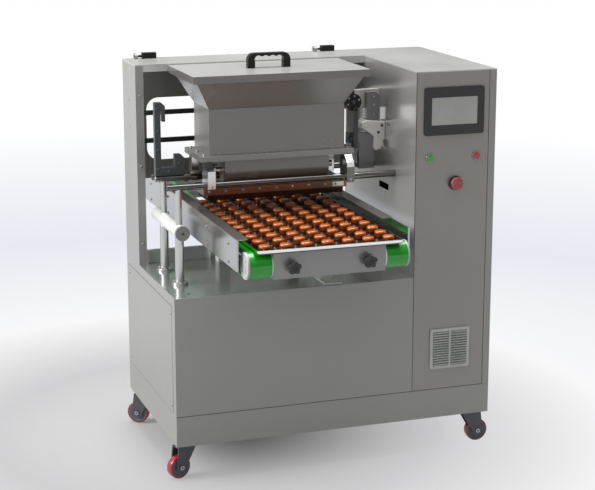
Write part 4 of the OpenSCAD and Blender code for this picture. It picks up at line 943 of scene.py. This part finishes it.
leg_outline = [(leg_tip, 0.065), (-0.084, 0.065), (-0.036, 0.057), (-0.036, -0.055), (-0.089, -0.055),
               (-0.089, 0.031), (leg_tip, 0.031)]
leg = cut_plate("drive_leg", leg_outline, leg_face, leg_face + leg_t, wall_foot)
soften(leg, 0.0015, 2, 30)
pivot = turned("lever_pivot", shaft_rings(leg_face - block_lo.y), 24, (motor_mid.x, leg_face, block_lo.z + 0.048),
               forward)
settle(joined([leg, pivot], "drive_leg"), "cabinet", "dark_metal", leg_grey)
block_screw = (0.0045, 0.004)
block_places = [(block_hi.x - x, block_face, block_lo.z + z) for x, z in ((0.024, 0.062), (0.012, 0.084))]
screw_heads("block_screws", "cabinet", block_places, facing_front, block_screw, dark_metal, "dark_metal")

# Conveyor frame: polished side plates and satin inner plates, stainless and laser cut, held together by
# spacer bars inside the belts, on two stands painted pale as painted light in the shade under the conveyor.
# The side plates stop short of the pulleys, and guide rails of flat strip lie on them.
plate_metal = sheet_metal("plate_metal", (0.258, 0.258, 0.248), 0.4, 0.28, (500, 8, 500))
side_metal = sheet_metal("side_metal", (0.46, 0.455, 0.44), 0.95, 0.15, (500, 8, 500), bump=0.004)
rail_metal = sheet_metal("rail_metal", (0.34, 0.33, 0.31), 0.85, 0.20, (300, 8, 300))
# Pale finish, paler than the shade here lets these parts look: painted light for the stands and the pulley rims.
pale_painted_light = moulding("pale_painted_light", (0.82, 0.82, 0.80), 0.35)
dress(pale_painted_light, "conveyor_stands")
lane_lo, lane_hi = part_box("conveyor_frame")
belt_lo, belt_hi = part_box("conveyor_belts")
lane_x = (lane_lo.x + lane_hi.x) / 2
side_t = 0.006
side_start = belt_lo.y + 0.052
side_end = belt_hi.y - 0.052
side_low = belt_hi.z - 0.061
inner_t = 0.005
inner_left = lane_x - 0.174
inner_right = lane_x + 0.174
inner_low = belt_hi.z - 0.076
inner_top = belt_hi.z - 0.010
cross_t = 0.006
cross_top = lane_lo.z + 0.077
plate_edge = 0.0006
sides = [rounded_block("side_plate", (x, side_start, side_low), (x + side_t, side_end, lane_hi.z), plate_edge, 2)
         for x in (lane_lo.x, lane_hi.x - side_t)]
settle(joined(sides, "conveyor_sides"), "cabinet", "hopper_steel", side_metal)
plates = []
for x in (inner_left, inner_right - inner_t):
    plates.append(rounded_block("inner_plate", (x, lane_lo.y + cross_t, inner_low),
                                (x + inner_t, lane_hi.y - cross_t, inner_top), plate_edge, 2))
for y in (lane_lo.y, lane_hi.y - cross_t):
    plates.append(rounded_block("cross_plate", (inner_left, y, lane_lo.z), (inner_right, y + cross_t, cross_top),
                                plate_edge, 2))
spacer_r = 0.007
spacer_z = (belt_lo.z + belt_hi.z) / 2
spacer_l = inner_left - lane_lo.x - side_t
spacer_y = (lane_lo.y + 0.13, lane_lo.y + 0.36, lane_hi.y - 0.36, lane_hi.y - 0.13)
spacer = turned("spacer", [(spacer_r, 0.0), (spacer_r, spacer_l)], 24, turn=rightward)
spacer_places = [(x, y, spacer_z) for y in spacer_y for x in (lane_lo.x + side_t, inner_right)]
plates.append(copies(spacer, spacer_places, "spacer_bars"))
settle(joined(plates, "conveyor_plates"), "cabinet", "hopper_steel", plate_metal, "conveyor_frame")
rail_w = 0.036
rail_t = 0.003
rail_round = 0.006
right_start = front_lo.y - 0.105
rails = []
for x, start in ((lane_lo.x, side_start), (lane_hi.x - rail_w, right_start)):
    rail = plain_block("rail", (x, start, lane_hi.z), (x + rail_w, side_end, lane_hi.z + rail_t))
    round_corners(rail, 2, rail_round, 5)
    soften(rail, plate_edge)
    rails.append(rail)
settle(joined(rails, "rail_strips"), "cabinet", "hopper_steel", rail_metal, "guide_rails")
plate_screw = (0.0042, 0.0025)
plate_z = (0.735, 0.790)
for side, x, normal in (("left", lane_lo.x, facing_left), ("right", lane_hi.x, facing_right)):
    plate_places = [(x, y, z) for y in spacer_y for z in plate_z]
    screw_heads(side + "_plate_screws", "cabinet", plate_places, normal, plate_screw, plate_metal)

# Belts: smooth green food belting with a gloss, joined endless over white turned pulleys. Each pulley has
# a thin rim inside, painted pale as painted light in its shaded recess, and outside a flange with a stepped
# face and a ring of screws. Each pair is on one shaft.
belt_green = moulding("belt_green", (0.003, 0.29, 0.008), 0.20, coat=0.4, bump=0.02)
pulley_white = moulding("pulley_white", (0.40, 0.40, 0.40), 0.40)
dress(belt_green, "conveyor_belts")
belt_w = 0.067
left_x = belt_lo.x + belt_w
right_x = belt_hi.x - belt_w
drum_r = 0.0376
flange_r = 0.0402
flange_in = belt_w + 0.0003
flange_out = belt_w + 0.0065
step_in = flange_out - 0.0008
flange_shape = ((1.0, -0.001), (0.98, 0.0), (0.93, 0.0), (0.91, -0.0008), (0.45, -0.0008), (0.43, 0.0006),
                (0.24, 0.0006), (0.20, -0.0004))
rim_gap = 0.0003
rim_t = 0.0024
rim_r = (belt_hi.z - belt_lo.z) / 2 - 0.0002
rim_edge = 0.0003
rim_rings = [(rim_r - rim_edge, -rim_gap - rim_t), (rim_r, -rim_gap - rim_t + rim_edge), (rim_r, -rim_gap)]
pulley_rings = [(drum_r, -rim_gap), (drum_r, flange_in), (flange_r, flange_in)]
pulley_rings += [(flange_r * r, flange_out + z) for r, z in flange_shape]
axle_r = 0.008
axle_rings = [(axle_r, 0.0), (axle_r, right_x - left_x)]
pulley_screw = (0.003, 0.0016)
screw_ring = 0.024
for name, body in (("front_pulleys", "front_drum"), ("rear_pulleys", "rear_drum")):
    drum_lo, drum_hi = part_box(name)
    middle = (drum_lo + drum_hi) / 2
    drums = []
    rims = []
    for x, turn in ((left_x, leftward), (right_x, rightward)):
        drums.append(turned("pulley", pulley_rings, 64, (x, middle.y, middle.z), turn))
        rims.append(turned("rim", rim_rings, 64, (x, middle.y, middle.z), turn))
    # The rims take the pale finish as painted light in their shaded recess.
    settle(joined(rims, body + "_rims"), body, "pulley_white", pale_painted_light)
    axle = turned("axle", axle_rings, 32, (left_x, middle.y, middle.z), rightward)
    settle(joined(drums + [axle], body + "_pulleys"), body, "pulley_white", pulley_white, name)
    for side, x, normal in (("left", left_x - step_in, facing_left), ("right", right_x + step_in, facing_right)):
        ring = bolt_circle((x, middle.y, middle.z), screw_ring, 4, 45, (1, 2))
        screw_heads(body + "_" + side + "_screws", body, ring, normal, pulley_screw)

# Star knobs: moulded black grips with five lobes and an insert in the same black, screwed through the
# cross plate on a stud, which draw the belts tight.
knob_black = moulding("knob_black", (0.026, 0.026, 0.026), 0.42)
knob_r = 0.0205
knob_reach = 0.023
knob_l = 0.032
knob_lobes = 5
knob_turn = (math.radians(90), math.radians(-18), 0)
lobe_back = 0.0115
lobe_levels = (0.55, 0.2, -0.15, -0.5, -0.8)
lobe_squeeze = 0.945
neck_r = 0.013
knob_rings = [(0.0125, 0.0), (neck_r, 0.001), (neck_r, 0.011), (knob_r * 0.9, 0.012), (knob_r, 0.0145),
              (knob_r, 0.028), (knob_r * 0.93, 0.031), (knob_r * 0.80, knob_l), (knob_r * 0.34, 0.0315),
              (knob_r * 0.30, 0.0305)]
stud_rings = [(0.005, -0.022), (0.005, 0.001)]
insert_rings = [(0.0055, 0.030), (0.0055, 0.0315), (0.0045, knob_l), (0.003, knob_l), (0.0026, 0.031)]
for name, body in (("left_knob", "knob_left"), ("right_knob", "knob_right")):
    knob_lo, knob_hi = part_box(name)
    knob = turned(name + "_star", knob_rings, 80)
    take(knob)
    for level in lobe_levels:
        start_edit("VERT")
        mesh = bmesh.from_edit_mesh(knob.data)
        for vert in mesh.verts:
            if vert.co.z > lobe_back and vert.co.xy.length > knob_r * 0.5:
                vert.select_set(math.cos(knob_lobes * math.atan2(vert.co.y, vert.co.x)) < level)
        bmesh.update_edit_mesh(knob.data)
        bpy.ops.transform.resize(value=(lobe_squeeze, lobe_squeeze, 1.0), center_override=(0, 0, 0))
        bpy.ops.object.mode_set(mode="OBJECT")
    stud = turned("knob_stud", stud_rings, 24)
    insert = turned("knob_insert", insert_rings, 24)
    knob = joined([knob, stud, insert], name + "_star")
    knob.rotation_euler = knob_turn
    knob.location = ((knob_lo.x + knob_hi.x) / 2, knob_lo.y + knob_l, knob_hi.z - knob_reach)
    settle(knob, body, "black_plastic", knob_black, name)

# Baking tray: aluminium sheet, pressed in one piece with round corners and a smooth rim. Its walls and rim
# are bright, and its floor is painted dark brown as painted shade and painted reflection of the head and dough
# above it. It lies loose on the two belts.
tray_lo, tray_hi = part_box("baking_tray")
tray_wall = Vector((0.002, 0.002, 0.002))
tray_round = 0.008
tray_edge = 0.0006
tray_metal = sheet_metal("tray_metal", (0.10, 0.085, 0.075), 1.0, 0.16, (8, 300, 8), bump=0.004)
# Floor below this level painted dark brown: painted shade and reflection. Walls and rim above it are the sheet's
# bright tone.
two_tone(tray_metal, "Z", tray_lo.z + 0.0035, (0.85, 0.84, 0.82))
tray = plain_block("pressed_tray", tray_lo, tray_hi)
round_corners(tray, 2, tray_round, 5)
inside = plain_block("inside", tray_lo + tray_wall,
                     (tray_hi.x - tray_wall.x, tray_hi.y - tray_wall.y, tray_hi.z + past))
round_corners(inside, 2, tray_round - tray_wall.x, 5)
cut_out(tray, inside)
soften(tray, tray_edge, 2, 60)
settle(tray, "tray", "tray_metal", tray_metal, "baking_tray")

# Dough: glossy orange mounds, seven to a row, each piped from a nozzle onto the tray, with a soft round
# shoulder. Their sides are painted dark brown below the orange top as painted shade.
dough_lo, dough_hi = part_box("dough_pieces")
dough_r = 0.018
dough_h = dough_hi.z - dough_lo.z
row_count = 7
row_number = 11
dough_orange = moulding("dough_orange", (0.12, 0.024, 0.003), 0.14, coat=0.4, grain=260.0, bump=0.10,
                        patch_scale=40.0)
# Lower part dark brown, top orange: the darker sides are painted shade.
two_tone(dough_orange, "Z", dough_lo.z + dough_h * 0.62, (0.40, 0.088, 0.004), dough_h * 0.35)
dough_shape = ((0.94, 0.0), (0.99, 0.08), (1.0, 0.30), (0.98, 0.62), (0.94, 0.80), (0.84, 0.93), (0.66, 0.99),
               (0.35, 1.0))
dough_rings = [(dough_r * r, dough_h * z) for r, z in dough_shape]
step_x = (dough_hi.x - dough_lo.x - 2 * dough_r) / (row_count - 1)
step_y = (dough_hi.y - dough_lo.y - 2 * dough_r) / (row_number - 1)
dough_places = [(dough_lo.x + dough_r + i * step_x, dough_lo.y + dough_r + j * step_y, dough_lo.z)
                for i in range(row_count) for j in range(row_number)]
mound = turned("dough_mound", dough_rings, 24)
settle(copies(mound, dough_places, "dough_mounds"), "tray", "dough", dough_orange, "dough_pieces")

# Casters: dark pressed forks under bolted top plates, red cast treads on dark hubs, and hexagon
# bolts as axles. The front pair trails outwards, the rear pair outwards and back.
fork_dark = sheet_metal("fork_dark", (0.085, 0.087, 0.092), 0.5, 0.34, (120, 120, 120), bump=0.05)
hub_dark = moulding("hub_dark", (0.095, 0.100, 0.115), 0.40)
tread_red = moulding("tread_red", (0.27, 0.012, 0.023), 0.22, coat=0.5)
bolt_bright = sheet_metal("bolt_bright", (0.42, 0.43, 0.45), 1.0, 0.25, (200, 200, 200))
dress(fork_dark, "caster_plates", "front_left_fork", "front_right_fork", "rear_left_fork", "rear_right_fork")
wheel_r = 0.0375
wheel_half = 0.012
hub_r = 0.0325
half_tread = [(hub_r * 0.94, wheel_half * 0.7), (hub_r, wheel_half), (wheel_r * 0.91, wheel_half),
              (wheel_r * 0.975, wheel_half * 0.86), (wheel_r * 0.998, wheel_half * 0.5)]
half_hub = [(0.0052, 0.0136), (0.0130, 0.0136), (0.0136, 0.0126), (0.0150, 0.0104), (0.0245, 0.0100),
            (0.0270, 0.0116), (hub_r, 0.0112)]


def both_halves(half, middle=()):
    """Rings of a piece that is the same on both sides of its middle."""
    return [(r, -z) for r, z in half] + list(middle) + [(r, z) for r, z in reversed(half)]


axle_reach = 0.018
head_rings = [(0.0085, 0.0), (0.0085, 0.0035), (0.0078, 0.0045), (0.0040, 0.0045), (0.0036, 0.0038)]
for corner, angle in (("front_left", 200), ("front_right", 0), ("rear_left", 145), ("rear_right", 35)):
    wheel_lo, wheel_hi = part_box(corner + "_wheel")
    centre = (wheel_lo + wheel_hi) / 2
    turn = (math.radians(90), 0, math.radians(angle))
    tread = turned(corner + "_tread", both_halves(half_tread, [(wheel_r, 0.0)]), 56, centre, turn)
    settle(tread, corner + "_roll", "wheel_red", tread_red, corner + "_wheel")
    hub = turned(corner + "_hub", both_halves(half_hub), 40, centre, turn)
    settle(hub, corner + "_roll", "dark_metal", hub_dark)
    axle = Vector((-math.sin(math.radians(angle)), math.cos(math.radians(angle)), 0))
    heads = []
    for side in (-1, 1):
        face = Vector(centre) + axle * axle_reach * side
        heads.append(turned("axle_head", head_rings, 6, face, (axle * side).to_track_quat("Z", "Y").to_euler()))
    settle(joined(heads, corner + "_axle_heads"), corner + "_swivel", "bright_steel", bolt_bright)
